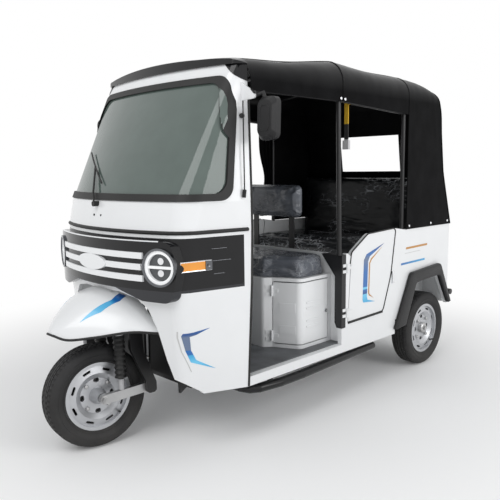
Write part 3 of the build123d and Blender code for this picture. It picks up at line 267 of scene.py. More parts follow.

# %% [markdown]
# ## Materials
# Every finish starts from the Principled shader. Constants sit on the shader's own sockets; only
# what changes over the surface, such as grain, tone and dust, comes through nodes.

# %% Material maker
# the second colour is a painted highlight, laid into the base colour along the film's crease ridges
DUST_COLOUR, PAINTED_CREASE_HIGHLIGHT = (0.30, 0.27, 0.23), (0.62, 0.64, 0.67)
GRAIN_DEPTH, FOLD_STRENGTH, FOLD_DEPTH = 0.001, 0.5, 0.03
TONE_STOPS, EDGE_BLUR = (0.3, 0.7), 0.0006


def add_group(tree, group, **values):
    """A group node on the object's own coordinates, with its other inputs set."""
    made = tree.nodes.new("ShaderNodeGroup")
    made.node_tree = group
    tree.links.new(tree.nodes.new("ShaderNodeTexCoord").outputs["Object"], made.inputs["Vector"])
    for label, value in values.items():
        made.inputs[label].default_value = value
    return made.outputs


def add_bump(tree, height, strength, depth):
    """A bump from a height, laid over the bump that the shader already has."""
    made = tree.nodes.new("ShaderNodeBump")
    made.inputs["Strength"].default_value = strength
    made.inputs["Distance"].default_value = depth
    tree.links.new(height, made.inputs["Height"])
    normal = tree.nodes["Principled BSDF"].inputs["Normal"]
    if normal.links:
        tree.links.new(normal.links[0].from_socket, made.inputs["Normal"])
    tree.links.new(made.outputs["Normal"], normal)


def over_base(material, colour, mask):
    """Lay a colour over a material's base colour where a mask is high."""
    tree = material.node_tree
    base = tree.nodes["Principled BSDF"].inputs["Base Color"]
    blend = tree.nodes.new("ShaderNodeMix")
    blend.data_type = "RGBA"
    blend.inputs[7].default_value = (*colour, 1)
    tree.links.new(mask, blend.inputs["Factor"])
    tree.links.new(base.links[0].from_socket, blend.inputs[6])
    tree.links.new(blend.outputs[2], base)


def new_finish(name, **constants):
    """An empty material with constants on its shader's own sockets."""
    made = bpy.data.materials.new(name)
    made.use_nodes = True
    shader = made.node_tree.nodes["Principled BSDF"]
    for label, value in constants.items():
        shader.inputs[label.replace("_", " ")].default_value = value
    return made, made.node_tree, shader.inputs


def finish(name, colour, roughness, metallic=0.0, grain_scale=300, bump=0.0, tone=0.0, dust_top=0.0,
           dust_amount=0.0, coat=0.0, specular=0.5, creases=None, **constants):
    """A procedural material: base colour with tone changes, grain bump and dust near the road."""
    made, tree, sockets = new_finish(name, Roughness=roughness, Metallic=metallic, Coat_Weight=coat,
                                     Specular_IOR_Level=specular, **constants)
    spots = add_group(tree, grain, Scale=grain_scale)
    ramp = tree.nodes.new("ShaderNodeValToRGB")
    for element, place, share in zip(ramp.color_ramp.elements, TONE_STOPS, (1 - tone, 1 + tone)):
        element.position = place
        element.color = (*(min(1.0, c * share) for c in colour), 1)
    tree.links.new(spots["Tone"], ramp.inputs["Fac"])
    tree.links.new(ramp.outputs["Color"], sockets["Base Color"])
    if dust_amount:
        over_base(made, DUST_COLOUR, add_group(tree, dust, Top=dust_top, Amount=dust_amount)["Mask"])
    if bump:
        add_bump(tree, spots["Height"], bump, GRAIN_DEPTH)
    # film: a bump along the creases, and a painted white highlight laid into the base colour on their ridges
    if creases:
        folds = add_group(tree, crease, Scale=creases[0], Amount=creases[1])
        add_bump(tree, folds["Height"], FOLD_STRENGTH, FOLD_DEPTH)
        over_base(made, PAINTED_CREASE_HIGHLIGHT, folds["Shine"])
    return made


def axis_value(material, axis):
    """A material's own place along one axis."""
    tree = material.node_tree
    parts = tree.nodes.new("ShaderNodeSeparateXYZ")
    tree.links.new(tree.nodes.new("ShaderNodeTexCoord").outputs["Object"], parts.inputs[0])
    return parts.outputs["XYZ".index(axis)]


def painted_past(material, axis, edge, colour, above=True):
    """Paint everything of a material past an edge on one axis in another colour."""
    ends = (0.0, 1.0) if above else (1.0, 0.0)
    place = axis_value(material, axis)
    mask = map_node(material.node_tree, place, edge - EDGE_BLUR, edge + EDGE_BLUR, *ends)
    over_base(material, colour, mask)


print("material maker ready")

# %% [markdown]
# The body is gloss white with a hint of orange peel, the grille a deep gloss black, the under-frame
# satin black. The soft top and the seats are black vinyl, the seats still under their clear
# wrapping film, whose creases are bumped and carry a painted white highlight along their ridges.

# %% Materials
WHITE, ZINC = (0.78, 0.79, 0.80), (0.45, 0.45, 0.46)
BLACK, RUBBER_BLACK = (0.008, 0.008, 0.009), (0.012, 0.012, 0.012)
white = finish("gloss_white_paint", WHITE, 0.28, grain_scale=900, bump=0.02, tone=0.01,
               dust_top=0.55, dust_amount=0.10, coat=0.4, Coat_Roughness=0.06)
bar_white = finish("white_grille_bar", (0.82, 0.83, 0.84), 0.25, grain_scale=800, bump=0.01, tone=0.01,
                   coat=0.5)
black_gloss = finish("gloss_black_panel", BLACK, 0.10, grain_scale=900, bump=0.01, tone=0.15, specular=0.35)
grille_black = finish("grille_black_with_white_edge", BLACK, 0.10, grain_scale=900, bump=0.01, tone=0.15,
                      specular=0.35)
black_metal = finish("satin_black_metal", (0.010, 0.010, 0.011), 0.32, grain_scale=500, bump=0.06, tone=0.2,
                     dust_top=0.5, dust_amount=0.10, specular=0.4)
vinyl_top = finish("black_top_vinyl", (0.006, 0.006, 0.0065), 0.45, grain_scale=420, bump=0.2, tone=0.25,
                   specular=0.02, Coat_Roughness=0.30)
rubber = finish("black_rubber", RUBBER_BLACK, 0.55, grain_scale=600, bump=0.1, tone=0.2, specular=0.35)
boot_rubber = finish("shock_boot_and_steel_ends", RUBBER_BLACK, 0.45, grain_scale=600, bump=0.1, tone=0.2,
                     specular=0.4)
tyre_rubber = finish("tyre_rubber", (0.018, 0.018, 0.019), 0.68, grain_scale=500, bump=0.15, tone=0.25,
                     dust_top=0.5, dust_amount=0.10, specular=0.35)
rim_silver = finish("silver_wheel_paint", (0.50, 0.51, 0.53), 0.36, metallic=0.75, grain_scale=1200,
                    bump=0.05, tone=0.06, dust_top=0.45, dust_amount=0.10)
bare_steel = finish("zinc_steel", (0.46, 0.46, 0.46), 0.33, metallic=0.95, grain_scale=800, bump=0.06,
                    tone=0.12)
chrome = finish("chrome", (0.80, 0.81, 0.83), 0.08, metallic=1.0, grain_scale=600, tone=0.03)
smoked = finish("smoked_chrome", (0.15, 0.155, 0.165), 0.12, metallic=1.0, grain_scale=600, tone=0.05)
plastic = finish("black_moulded_plastic", (0.013, 0.013, 0.014), 0.42, grain_scale=650, bump=0.15,
                 tone=0.15, dust_top=0.5, dust_amount=0.08, specular=0.3)
led_white = finish("white_lamp_ring", (0.88, 0.89, 0.90), 0.25, grain_scale=600, tone=0.02, coat=0.5,
                   Emission_Color=(1, 1, 1, 1), Emission_Strength=0.12)
amber = finish("amber_lens", (0.80, 0.30, 0.02), 0.16, grain_scale=260, bump=0.25, tone=0.12, coat=0.8)
red = finish("red_lens", (0.42, 0.008, 0.008), 0.16, grain_scale=260, bump=0.25, tone=0.12, coat=0.8)
smoke_glass = finish("tinted_windscreen", (0.105, 0.137, 0.124), 0.04, tone=0.05,
                     Transmission_Weight=0.08, IOR=1.5)
lens_glass = finish("lamp_lens", (0.05, 0.055, 0.06), 0.06, tone=0.1, coat=0.6)
back_vinyl = finish("black_bench_back_in_film", (0.008, 0.009, 0.010), 0.22, grain_scale=320, bump=0.1,
                    tone=0.3, specular=0.18, creases=(4.0, 1.0))
bench_vinyl = finish("bench_cushion_in_loose_film", (0.026, 0.028, 0.031), 0.20, grain_scale=320, bump=0.1,
                     tone=0.6, specular=0.4, creases=(5.5, 1.5))
film_seat = finish("driver_vinyl_in_hazy_film", (0.095, 0.104, 0.122), 0.26, grain_scale=320, bump=0.1,
                   tone=0.45, creases=(7.0, 0.45))
mat_grey = finish("speckled_floor_mat", (0.105, 0.110, 0.118), 0.6, grain_scale=160, bump=0.5, tone=0.35)
strap_yellow = finish("yellow_webbing", (0.70, 0.42, 0.02), 0.7, grain_scale=700, bump=0.4, tone=0.1)

# the top shines only where it faces the sky
SHINE_FROM_Z, SHINE_TO_Z, SHINE = 1.74, 1.90, 0.7
top_tree = vinyl_top.node_tree
top_shine = map_node(top_tree, axis_value(vinyl_top, "Z"), SHINE_FROM_Z, SHINE_TO_Z, 0.0, SHINE)
top_tree.links.new(top_shine, top_tree.nodes["Principled BSDF"].inputs["Coat Weight"])
# the chin below the bars is greyer, and the rear edge of the grille is painted with the body
CHIN_Z, CHIN_GREY, EDGE_Y = 0.803, (0.030, 0.031, 0.035), AXLE_Y - 1.733
painted_past(grille_black, "Z", CHIN_Z, CHIN_GREY, above=False)
painted_past(grille_black, "Y", EDGE_Y, WHITE)
# steel above and below the shocks' boots, a black sleeve and a steel ring at the straps' ends
BOOT_LOW, BOOT_TOP, SLEEVE_Z, RING_Z = 0.336, 0.552, 1.580, 1.496
painted_past(boot_rubber, "Z", BOOT_TOP, ZINC)
painted_past(boot_rubber, "Z", BOOT_LOW, ZINC, above=False)
painted_past(strap_yellow, "Z", SLEEVE_Z, RUBBER_BLACK, above=False)
painted_past(strap_yellow, "Z", RING_Z, (0.55, 0.55, 0.56), above=False)

LOOKS = (
    (white, "floor_pan seat_box nose_panel front_mudguard cab_front partition body_side_left body_side_right "
            "rear_panel door_left door_right battery_hatch bench_base door_hinges hatch_hinges"),
    (grille_black, "grille_panel"),
    (black_gloss, "roof_visor side_steps"),
    (black_metal, "chassis_frame canopy_frame door_posts backrest_brackets rear_axle leaf_springs "
                  "rear_bumper fork handlebar"),
    (vinyl_top, "canopy_roof canopy_rear"),
    (tyre_rubber, "front_tyre rear_tyre_left rear_tyre_right"),
    (rubber, "windscreen_seal wiper"),
    (boot_rubber, "front_shocks"),
    (rim_silver, "front_rim rear_rim_left rear_rim_right"),
    (bare_steel, "link_arms"),
    (smoked, "headlamp_bezels"),
    (chrome, "mirror_glass"),
    (smoke_glass, "windscreen_glass"),
    (lens_glass, "headlamp_lenses"),
    (led_white, "headlamp_rings"),
    (bar_white, "grille_bars"),
    (amber, "front_indicators"),
    (red, "tail_lamps"),
    (film_seat, "driver_cushion driver_backrest"),
    (bench_vinyl, "passenger_cushion"),
    (back_vinyl, "passenger_backrest"),
    (mat_grey, "floor_mat"),
    (plastic, "battery_pack dashboard mirrors antenna wheel_flares wheel_housing"),
    (strap_yellow, "grab_straps"),
)
for look_of, names in LOOKS:
    for name in names.split():
        nodes[name].data.materials.clear()
        nodes[name].data.materials.append(look_of)
left_over = sorted(set(nodes) - {n for _, names in LOOKS for n in names.split()})
print("nodes without a finish", left_over)

# %% [markdown]
# ## Helpers for modelling
# Operators work on whatever is selected and active, so each helper begins by clearing the selection.
# A finished piece keeps its place in its mesh, with the object itself at the origin. A line starts as
# a plane merged to one point, which is extruded from stop to stop.

# %% Modelling helpers
SIDES = (("left", 1), ("right", -1))
# points closer than this are merged: in a CAD copy, in a spun ring, in the rows of the soft top
CAD_MERGE, RING_MERGE, ROW_MERGE = 0.00002, 0.0001, 0.0004


def only(obj):
    """Select one object and make it active."""
    if bpy.context.object and bpy.context.object.mode != "OBJECT":
        bpy.ops.object.mode_set(mode="OBJECT")
    bpy.ops.object.select_all(action="DESELECT")
    obj.hide_viewport = False
    obj.select_set(True)
    bpy.context.view_layer.objects.active = obj
    return obj


def edit_all(obj):
    """Enter edit mode with everything of an object selected."""
    only(obj)
    bpy.ops.object.mode_set(mode="EDIT")
    bpy.ops.mesh.select_all(action="SELECT")


def pick_faces(obj, test):
    """Enter edit mode with the faces selected whose centre and normal pass the test."""
    only(obj)
    bpy.ops.object.mode_set(mode="EDIT")
    bpy.ops.mesh.select_mode(type="FACE")
    bpy.ops.mesh.select_all(action="DESELECT")
    bpy.ops.object.mode_set(mode="OBJECT")
    count = 0
    for face in obj.data.polygons:
        face.select = bool(test(face.center, face.normal))
        count += face.select
    bpy.ops.object.mode_set(mode="EDIT")
    return count


def modify(obj, kind, **settings):
    """Add one modifier, set it and apply it."""
    only(obj)
    made = obj.modifiers.new(kind.lower(), kind)
    for label, value in settings.items():
        setattr(made, label, value)
    bpy.ops.object.modifier_apply(modifier=made.name)


def settle(obj, name, body, material, angle=35.0):
    """Name a finished piece, move its place into its mesh, and let it ride on its body."""
    only(obj)
    bpy.ops.object.transform_apply(location=True, rotation=True, scale=True)
    outwards(obj)
    bpy.ops.object.shade_smooth_by_angle(angle=math.radians(angle))
    obj.name = name
    obj.data.name = name
    obj.data.materials.clear()
    obj.data.materials.append(material)
    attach(obj, body)
    return obj


def at(x, y, z):
    """A place whose station is measured from the rear axle."""
    return Vector((x, y + AXLE_Y, z))


def linked(name, mesh):
    """A mesh as an object of the scene."""
    made = bpy.data.objects.new(name, mesh)
    bpy.context.scene.collection.objects.link(made)
    return made


def from_points(name, points, faces):
    """An object from points, placed from the rear axle, and faces."""
    mesh = bpy.data.meshes.new(name)
    mesh.from_pydata([at(*p) for p in points], [], faces)
    return linked(name, mesh)


def row_quads(high, wide, start=0):
    """The faces between neighbouring rows of points."""
    corners = [start + i * wide + j for i in range(high - 1) for j in range(wide - 1)]
    return [(c, c + 1, c + 1 + wide, c + wide) for c in corners]


def merged(obj, threshold):
    """Merge the points of an object that lie close together."""
    edit_all(obj)
    bpy.ops.mesh.remove_doubles(threshold=threshold)
    bpy.ops.object.mode_set(mode="OBJECT")
    return obj


def outwards(obj):
    """Turn an object's faces outwards."""
    edit_all(obj)
    bpy.ops.mesh.normals_make_consistent(inside=False)
    bpy.ops.object.mode_set(mode="OBJECT")


def copy_of(node):
    """A separate copy of a CAD node's mesh, with its loose triangles merged."""
    return merged(linked(node + "_copy", nodes[node].data.copy()), CAD_MERGE)


def chain(points):
    """A line of edges through points, drawn by extruding a single point."""
    bpy.ops.object.select_all(action="DESELECT")
    bpy.ops.mesh.primitive_plane_add(size=0.01, location=(0, 0, 0))
    made = bpy.context.object
    bpy.ops.object.mode_set(mode="EDIT")
    bpy.ops.mesh.select_mode(type="VERT")
    bpy.ops.mesh.select_all(action="SELECT")
    bpy.ops.mesh.merge(type="CENTER")
    bpy.ops.transform.translate(value=points[0])
    for a, b in zip(points, points[1:]):
        step = [q - p for p, q in zip(a, b)]
        bpy.ops.mesh.extrude_vertices_move(TRANSFORM_OT_translate={"value": step})
    bpy.ops.object.mode_set(mode="OBJECT")
    return made


def spun(stops, steps):
    """A ring of (along, out) stops turned round the X axis."""
    made = chain([(a, 0, r) for a, r in stops])
    edit_all(made)
    bpy.ops.mesh.spin(steps=steps, angle=2 * math.pi, center=(0, 0, 0), axis=(1, 0, 0))
    bpy.ops.object.mode_set(mode="OBJECT")
    outwards(merged(made, RING_MERGE))
    return made


def spread(a, b, count):
    """Evenly spaced numbers from a to b."""
    return [a + (b - a) * i / (count - 1) for i in range(count)]


def along(table, place):
    """Straight-line reading from a table of (place, value) rows."""
    for (p, v), (q, w) in zip(table, table[1:]):
        if place <= q:
            return v + (w - v) * (place - p) / (q - p)
    return table[-1][1]


def rounded(corners, steps=7):
    """The stops of an open outline of (a, b, rounding), with round corners."""
    stops = [Vector(corners[0][:2])]
    for before, corner, after in zip(corners, corners[1:], corners[2:]):
        p, radius = Vector(corner[:2]), corner[2]
        a, b = (Vector(before[:2]) - p).normalized(), (Vector(after[:2]) - p).normalized()
        half = a.angle(b) / 2
        centre = p + (a + b).normalized() * radius / math.sin(half)
        reach = radius / math.tan(half)
        start, end = p + a * reach - centre, p + b * reach - centre
        stops += [centre + start.lerp(end, t).normalized() * radius for t in spread(0, 1, steps)]
    return stops + [Vector(corners[-1][:2])]


def smooth(table, steps):
    """A smooth run through rows of numbers, a few steps between each pair."""
    rows = [Vector(row) for row in table]
    padded = [rows[0] * 2 - rows[1], *rows, rows[-1] * 2 - rows[-2]]
    run = []
    for p, q, r, s in zip(padded, padded[1:], padded[2:], padded[3:]):
        for t in spread(0, 1, steps + 1)[:-1]:
            run.append(q + (r - p) * t / 2 + (p * 2 - q * 5 + r * 4 - s) * t ** 2 / 2
                       + (q * 3 - p - r * 3 + s) * t ** 3 / 2)
    return run + [rows[-1]]


print("modelling helpers ready")

# %% [markdown]
# ## Soft top
# The top is one sheet of vinyl pulled over two bows. It is built as rows of points: each row goes
# from one skirt over the eave and the crown to the other skirt. Behind the rear bow the walls run
# down to the body and the back closes the sheet, with a window left out. Between the bows the sheet
# sags a little, and near the hems it puckers.

# %% Soft top
TOP_HALF, EAVE_DROP, EAVE_R = 0.575, 0.047, 0.120
CROWN_R = (TOP_HALF ** 2 + EAVE_DROP ** 2) / (2 * EAVE_DROP)
FRONT_Y, BOW_Y, QUARTER_Y, BACK_Y = -1.692, -1.000, -0.330, -0.046
# station and height of the crown, then of the skirt's hem
ROOF = ((FRONT_Y, 1.872), (BOW_Y, 1.938), (QUARTER_Y, 1.918))
SKIRT = ((FRONT_Y, 1.688), (BOW_Y, 1.688), (QUARTER_Y, 1.657))
CROWN_Z, HEM_Z = ROOF[-1][1], SKIRT[-1][1]
BODY_TOP, SHOULDER_Z, CROWN_FALL = 0.9515, 1.75, 0.058
# station, height and rounding of the back's side view
TAIL = ((QUARTER_Y, CROWN_Z, 0), (0.058, 1.890, 0.28), (0.084, 1.560, 0.2), (0.122, 1.305, 0.2),
        (0.243, 0.950, 0))
WINDOW_HALF, WINDOW_LOW, WINDOW_TOP = 0.250, 1.313, 1.565
CLOTH_OUT, CLOTH_THICK, SAG, SAG_FADE = 0.0015, 0.003, 0.011, 0.16
PUCKER, FINE_SHARE, PUCKER_IN = 0.0022, 0.45, 0.6
RIPPLE, FINE_RIPPLE = Vector((5, 7, 5)), Vector((21, 26, 9))
BAY_ROWS = 17
tail_rows = [tuple(stop) for stop in rounded(TAIL, 13)]
tail_by_height = sorted((z, y) for y, z in tail_rows)
tail_drop = [(y, CROWN_Z - z) for y, z in tail_rows if y <= 0]


def half_section(top, walls):
    """Points (x, z) from the lowest wall point over the eave to the crown."""
    centre_z = top + CLOTH_OUT - CROWN_R
    eave_x = TOP_HALF + CLOTH_OUT - EAVE_R
    eave_z = centre_z + math.sqrt((CROWN_R - EAVE_R) ** 2 - eave_x ** 2)
    turn = math.atan2(eave_z - centre_z, eave_x)
    points = [(TOP_HALF + CLOTH_OUT, z) for z in walls + spread(walls[-1], eave_z, 5)[1:]]
    for x, z, radius, angles in ((eave_x, eave_z, EAVE_R, spread(0, turn, 9)),
                                 (0, centre_z, CROWN_R, spread(turn, math.pi / 2, 15))):
        points += [(x + radius * math.cos(a), z + radius * math.sin(a)) for a in angles[1:]]
    return points


def both_halves(ring):
    """A row of points from one hem over the crown to the other."""
    return [(-x, y, z) for x, y, z in ring] + ring[-2::-1]


front_rows = []
for y in spread(FRONT_Y, BOW_Y, BAY_ROWS) + spread(BOW_Y, QUARTER_Y, BAY_ROWS)[1:]:
    bay = (y - FRONT_Y) / (BOW_Y - FRONT_Y) if y < BOW_Y else (y - BOW_Y) / (QUARTER_Y - BOW_Y)
    sag = SAG * math.sin(math.pi * bay) ** 2
    half = half_section(along(ROOF, y), [along(SKIRT, y)])
    crown = half[-1][1]
    front_rows.append(both_halves([(x, y, z - sag * max(0.0, 1 - (crown - z) / SAG_FADE)) for x, z in half]))

walls = spread(BODY_TOP, WINDOW_LOW, 9) + spread(WINDOW_LOW, WINDOW_TOP, 7)[1:]
walls += spread(WINDOW_TOP, HEM_Z, 3)[1:]
edge_half = half_section(CROWN_Z, walls)
ends = []
for x, z in edge_half:
    share = min(1.0, max(0.0, (z - SHOULDER_Z) / (CROWN_Z + CLOTH_OUT - SHOULDER_Z)))
    low = z - CROWN_FALL * share
    ends.append((x, along(tail_by_height, low) + CLOTH_OUT, low, share))
quarter_rows = []
for v in spread(0, 1, 13):
    drop = CROWN_FALL if v == 1 else min(CROWN_FALL, along(tail_drop, QUARTER_Y + v * (BACK_Y - QUARTER_Y)))
    ring = [(x, QUARTER_Y + v * (end_y - QUARTER_Y), z - share * drop)
            for (x, z), (_, end_y, _, share) in zip(edge_half, ends)]
    quarter_rows.append(both_halves(ring))

pane = WINDOW_HALF / (TOP_HALF + CLOTH_OUT)
across = spread(-1, -pane, 8) + spread(-pane, pane, 11)[1:] + spread(pane, 1, 8)[1:]
back_rows = [[(s * x, y, low) for s in across] for x, y, low, _ in ends]

sheet_points, sheet_faces = [], []
for rows in (front_rows, quarter_rows, back_rows):
    sheet_faces += row_quads(len(rows), len(rows[0]), len(sheet_points))
    sheet_points += [p for row in rows for p in row]
back_start = len(sheet_points) - len(back_rows) * len(across)


def off_window(quad):
    """True for a face that isn't inside the rear window."""
    middle = sum((Vector(sheet_points[k]) for k in quad), Vector()) / 4
    inside = abs(middle.x) < WINDOW_HALF and WINDOW_LOW < middle.z < WINDOW_TOP
    return quad[0] < back_start or not inside


soft_top = from_points("soft_top", sheet_points, [quad for quad in sheet_faces if off_window(quad)])
outwards(merged(soft_top, ROW_MERGE))
modify(soft_top, "SUBSURF", levels=1, render_levels=1, subdivision_type="SIMPLE")
for vertex in soft_top.data.vertices:
    lift = noise.noise(vertex.co * RIPPLE) + FINE_SHARE * noise.noise(vertex.co * FINE_RIPPLE)
    vertex.co += vertex.normal * PUCKER * (lift - PUCKER_IN)
modify(soft_top, "SOLIDIFY", thickness=CLOTH_THICK, offset=-1.0)
settle(soft_top, "soft_top", "body", vinyl_top, 50)
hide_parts("canopy_roof", "canopy_rear")

# %% [markdown]
# ## Tied-back curtain
# On the far side a rain curtain of the same vinyl is gathered at the back of the door opening and
# tied at mid height. It is a sheet of rows that is drawn in at the tie's height, where its folds flatten a
# little.

# %% Curtain
CURTAIN_TOP, CURTAIN_LOW, TIE_Z, TIE_SPREAD = 1.655, 0.992, 1.270, 0.14
CURTAIN_BACK, CURTAIN_WIDE, TIE_PULL = -0.336, 0.150, 0.055
CURTAIN_X, FOLD_DEEP, FOLDS, FOLD_WANDER, TIE_FLATTEN = -0.556, 0.011, 4, 0.8, 0.25
CURTAIN_HIGH, CURTAIN_ACROSS, CURTAIN_THICK = 28, 41, 0.0015
curtain_points = []
for z in spread(CURTAIN_LOW, CURTAIN_TOP, CURTAIN_HIGH):
    pull = math.exp(-((z - TIE_Z) / TIE_SPREAD) ** 2)
    for u in spread(0, 1, CURTAIN_ACROSS):
        y = CURTAIN_BACK - (CURTAIN_WIDE - TIE_PULL * pull) * u
        wander = FOLD_WANDER * noise.noise(Vector((z * 2.5, u * 2, 7)))
        fold = math.sin(2 * math.pi * FOLDS * u + wander)
        curtain_points.append((CURTAIN_X + FOLD_DEEP * (1 - TIE_FLATTEN * pull) * fold, y, z))
curtain = from_points("side_curtain", curtain_points, row_quads(CURTAIN_HIGH, CURTAIN_ACROSS))
modify(curtain, "SOLIDIFY", thickness=CURTAIN_THICK, offset=0.0)
settle(curtain, "side_curtain", "body", vinyl_top, 60)

# %% [markdown]
# ## Seats
# Each seat is foam under vinyl. A copy of the plain solid is pulled in a little, remeshed finely and
# blown up by a short cloth run with its base held, so the top crowns and the edges pull in. How far
# a point may move is capped, so the pad keeps clear of its neighbours.

# %% Seats
HELD_BAND, CLOTH_FRAMES, SEAT_FILL = 0.012, 20, 0.7
PULL_IN, DROP_IN = 0.9, 0.85
SEATS = (
    # node, voxel, pressure, largest move, face that is held
    ("driver_cushion", 0.007, 5.0, 0.012, (0, 0, -1)),
    ("driver_backrest", 0.006, 5.0, 0.011, (0, 1, 0)),
    ("passenger_cushion", 0.010, 4.0, 0.013, (0, 0, -1)),
    ("passenger_backrest", 0.010, 4.0, 0.013, (0, 1, 0)),
)


def swell(obj, pressure, cap, held):
    """Blow a remeshed pad up with a cloth run and cap how far each point moves."""
    depth = [-(Vector(held) @ v.co) for v in obj.data.vertices]
    base = obj.vertex_groups.new(name="held")
    base.add([i for i, d in enumerate(depth) if d < min(depth) + HELD_BAND], 1.0, "REPLACE")
    before = [v.co.copy() for v in obj.data.vertices]
    cloth = obj.modifiers.new("cloth", "CLOTH")
    cloth.settings.quality = 4
    cloth.settings.use_pressure = True
    cloth.settings.uniform_pressure_force = pressure
    cloth.settings.vertex_group_mass = "held"
    cloth.settings.effector_weights.gravity = 0
    cloth.point_cache.frame_start = 1
    cloth.point_cache.frame_end = CLOTH_FRAMES
    for step in range(1, CLOTH_FRAMES + 1):
        bpy.context.scene.frame_set(step)
    only(obj)
    bpy.ops.object.modifier_apply(modifier=cloth.name)
    for vertex, old in zip(obj.data.vertices, before):
        move = vertex.co - old
        if move.length > cap:
            vertex.co = old + move.normalized() * cap
    bpy.context.scene.frame_set(1)


for node, voxel, pressure, cap, held in SEATS:
    low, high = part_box(node)
    pad = copy_of(node)
    middle, size = (low + high) / 2, high - low
    shrink = [(s - 2 * cap * PULL_IN) / s for s in size]
    for vertex in pad.data.vertices:
        vertex.co = Vector(middle[i] + (vertex.co[i] - middle[i]) * shrink[i] for i in range(3))
        vertex.co += Vector(held) * cap * DROP_IN
    pad.data.remesh_voxel_size = voxel
    only(pad)
    bpy.ops.object.voxel_remesh()
    swell(pad, pressure, cap, held)
    modify(pad, "SMOOTH", factor=0.5, iterations=4)
    settle(pad, node + "_pad", "body", nodes[node].data.materials[0], 60)
    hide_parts(node)
    print(pad.name, len(pad.data.polygons), "faces")

# %% [markdown]
# ## Tyres
# A tyre is a section spun round the axle. The tread band gets ring grooves from the section itself,
# and cross cuts by sinking every other face at the shoulders. One tyre is modelled at the origin and
# copied to the three wheels.

# %% Tyres
TYRE_STEPS, TREAD, GROOVE = 120, 0.247, 0.0055
CUT_FROM_R, CUT_FROM_X, OUTER_LANE_X = 0.2425, 0.014, 0.031
CUT_INSET, CUT_DEPTH = 0.0034, -0.0028
COUNT_FROM = 1000.5  # keeps the count of steps above zero all round
# half width and radius: from the bead over the wall, then from the shoulder to the middle of the tread
WALL = ((0.0470, 0.163), (0.0520, 0.168), (0.0590, 0.176), (0.0592, 0.1785), (0.0575, 0.1795),
        (0.0630, 0.190), (0.0668, 0.200), (0.0672, 0.2045), (0.0655, 0.2055), (0.0662, 0.214),
        (0.0645, 0.2235), (0.0605, 0.2325), (0.0540, 0.2400), (0.0455, 0.2455))
RIBS = ((0.0330, TREAD - 0.0004), (0.0325, TREAD - GROOVE), (0.0285, TREAD - GROOVE), (0.0280, TREAD),
        (0.0125, TREAD), (0.0120, TREAD - GROOVE), (0.0080, TREAD - GROOVE), (0.0075, TREAD))
half_ring = WALL + RIBS
tyre = spun([*half_ring, *((-x, r) for x, r in reversed(half_ring))], TYRE_STEPS)


def cross_cut(centre, normal):
    """Every other face of the outer ribs and shoulders."""
    turn = math.atan2(centre.y, centre.z) / (2 * math.pi) * TYRE_STEPS
    lane = 1 if abs(centre.x) > OUTER_LANE_X else 0
    on_tread = math.hypot(centre.y, centre.z) > CUT_FROM_R and abs(centre.x) > CUT_FROM_X
    return on_tread and normal.dot(centre) > 0 and int(turn + COUNT_FROM + lane) % 2 == 0


cuts = pick_faces(tyre, cross_cut)
bpy.ops.mesh.inset(thickness=CUT_INSET, depth=CUT_DEPTH, use_individual=True)
bpy.ops.object.mode_set(mode="OBJECT")


def hub_place(body):
    """Where a wheel's hub is, with X along its axle."""
    joint = joint_of[body]
    turn = Vector((1, 0, 0)).rotation_difference(Vector(joint["axis"]))
    return Matrix.Translation(Vector(joint["pos_m"])) @ turn.to_matrix().to_4x4()


WHEELS = (
    # name, body, tyre, half a turn where the outer side looks the other way
    ("front", "front_wheel", "front_tyre", 0),
    ("rear_left", "rear_wheel_left", "rear_tyre_left", 0),
    ("rear_right", "rear_wheel_right", "rear_tyre_right", math.pi),
)
for _, body, node, _ in WHEELS:
    made = linked(node + "_tread", tyre.data.copy())
    made.matrix_world = hub_place(body)
    settle(made, node + "_tread", body, tyre_rubber, 28)
    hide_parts(node)
bpy.data.objects.remove(tyre)
print("tyres", len(made.data.polygons), "faces each,", cuts, "cross cuts")

# %% [markdown]
# ## Lines, strips and printed shapes
# With a round section a line becomes a rubber bead or a piped seam. Closed and filled it becomes a
# printed shape, which is cut finely, dropped onto its panel along one axis and given the thickness
# of foil.

# %% Line helpers
FOIL = 0.0006


def bead(name, points, radius, body, material):
    """A round strip along a line."""
    made = chain(points)
    only(made)
    bpy.ops.object.convert(target="CURVE")
    made.data.bevel_depth = radius
    made.data.bevel_resolution = 2
    made.data.use_fill_caps = True
    bpy.ops.object.convert(target="MESH")
    return settle(bpy.context.object, name, body, material, 60)


def printed(name, node, corners, axis, body, material, cuts=4):
    """A printed shape on a panel, given by corners that lie outside it along the axis."""
    made = chain(corners)
    edit_all(made)
    bpy.ops.mesh.edge_face_add()
    bpy.ops.mesh.quads_convert_to_tris()
    bpy.ops.mesh.subdivide(number_cuts=cuts)
    bpy.ops.object.mode_set(mode="OBJECT")
    away = sum(c[axis] for c in corners) > 0
    modify(made, "SHRINKWRAP", target=nodes[node], wrap_method="PROJECT", wrap_mode="ABOVE_SURFACE",
           use_project_x=axis == 0, use_project_y=axis == 1, use_project_z=axis == 2,
           use_negative_direction=away, use_positive_direction=not away, offset=FOIL)
    modify(made, "SOLIDIFY", thickness=FOIL, offset=0.0)
    return settle(made, name, body, material, 40)


def touch(node, start, aim):
    """Where a straight look from one point towards another meets a CAD node."""
    hit, place, _, _ = nodes[node].ray_cast(start, (aim - start).normalized())
    if not hit:
        raise ValueError(f"nothing of {node} lies that way")
    return place


print("line helpers ready")

# %% [markdown]
# ## Printed stripes
# The body carries blue stripes that fade from dark to light, with orange and grey companions. Each
# print has a colour run on one axis of the object, so the fade follows the panel.

# %% Stripe finishes
NIGHT, STEEL_BLUE, MID_BLUE = (0.004, 0.060, 0.24), (0.12, 0.17, 0.28), (0.008, 0.13, 0.42)
SKY, ICE = (0.03, 0.36, 0.66), (0.15, 0.55, 0.82)


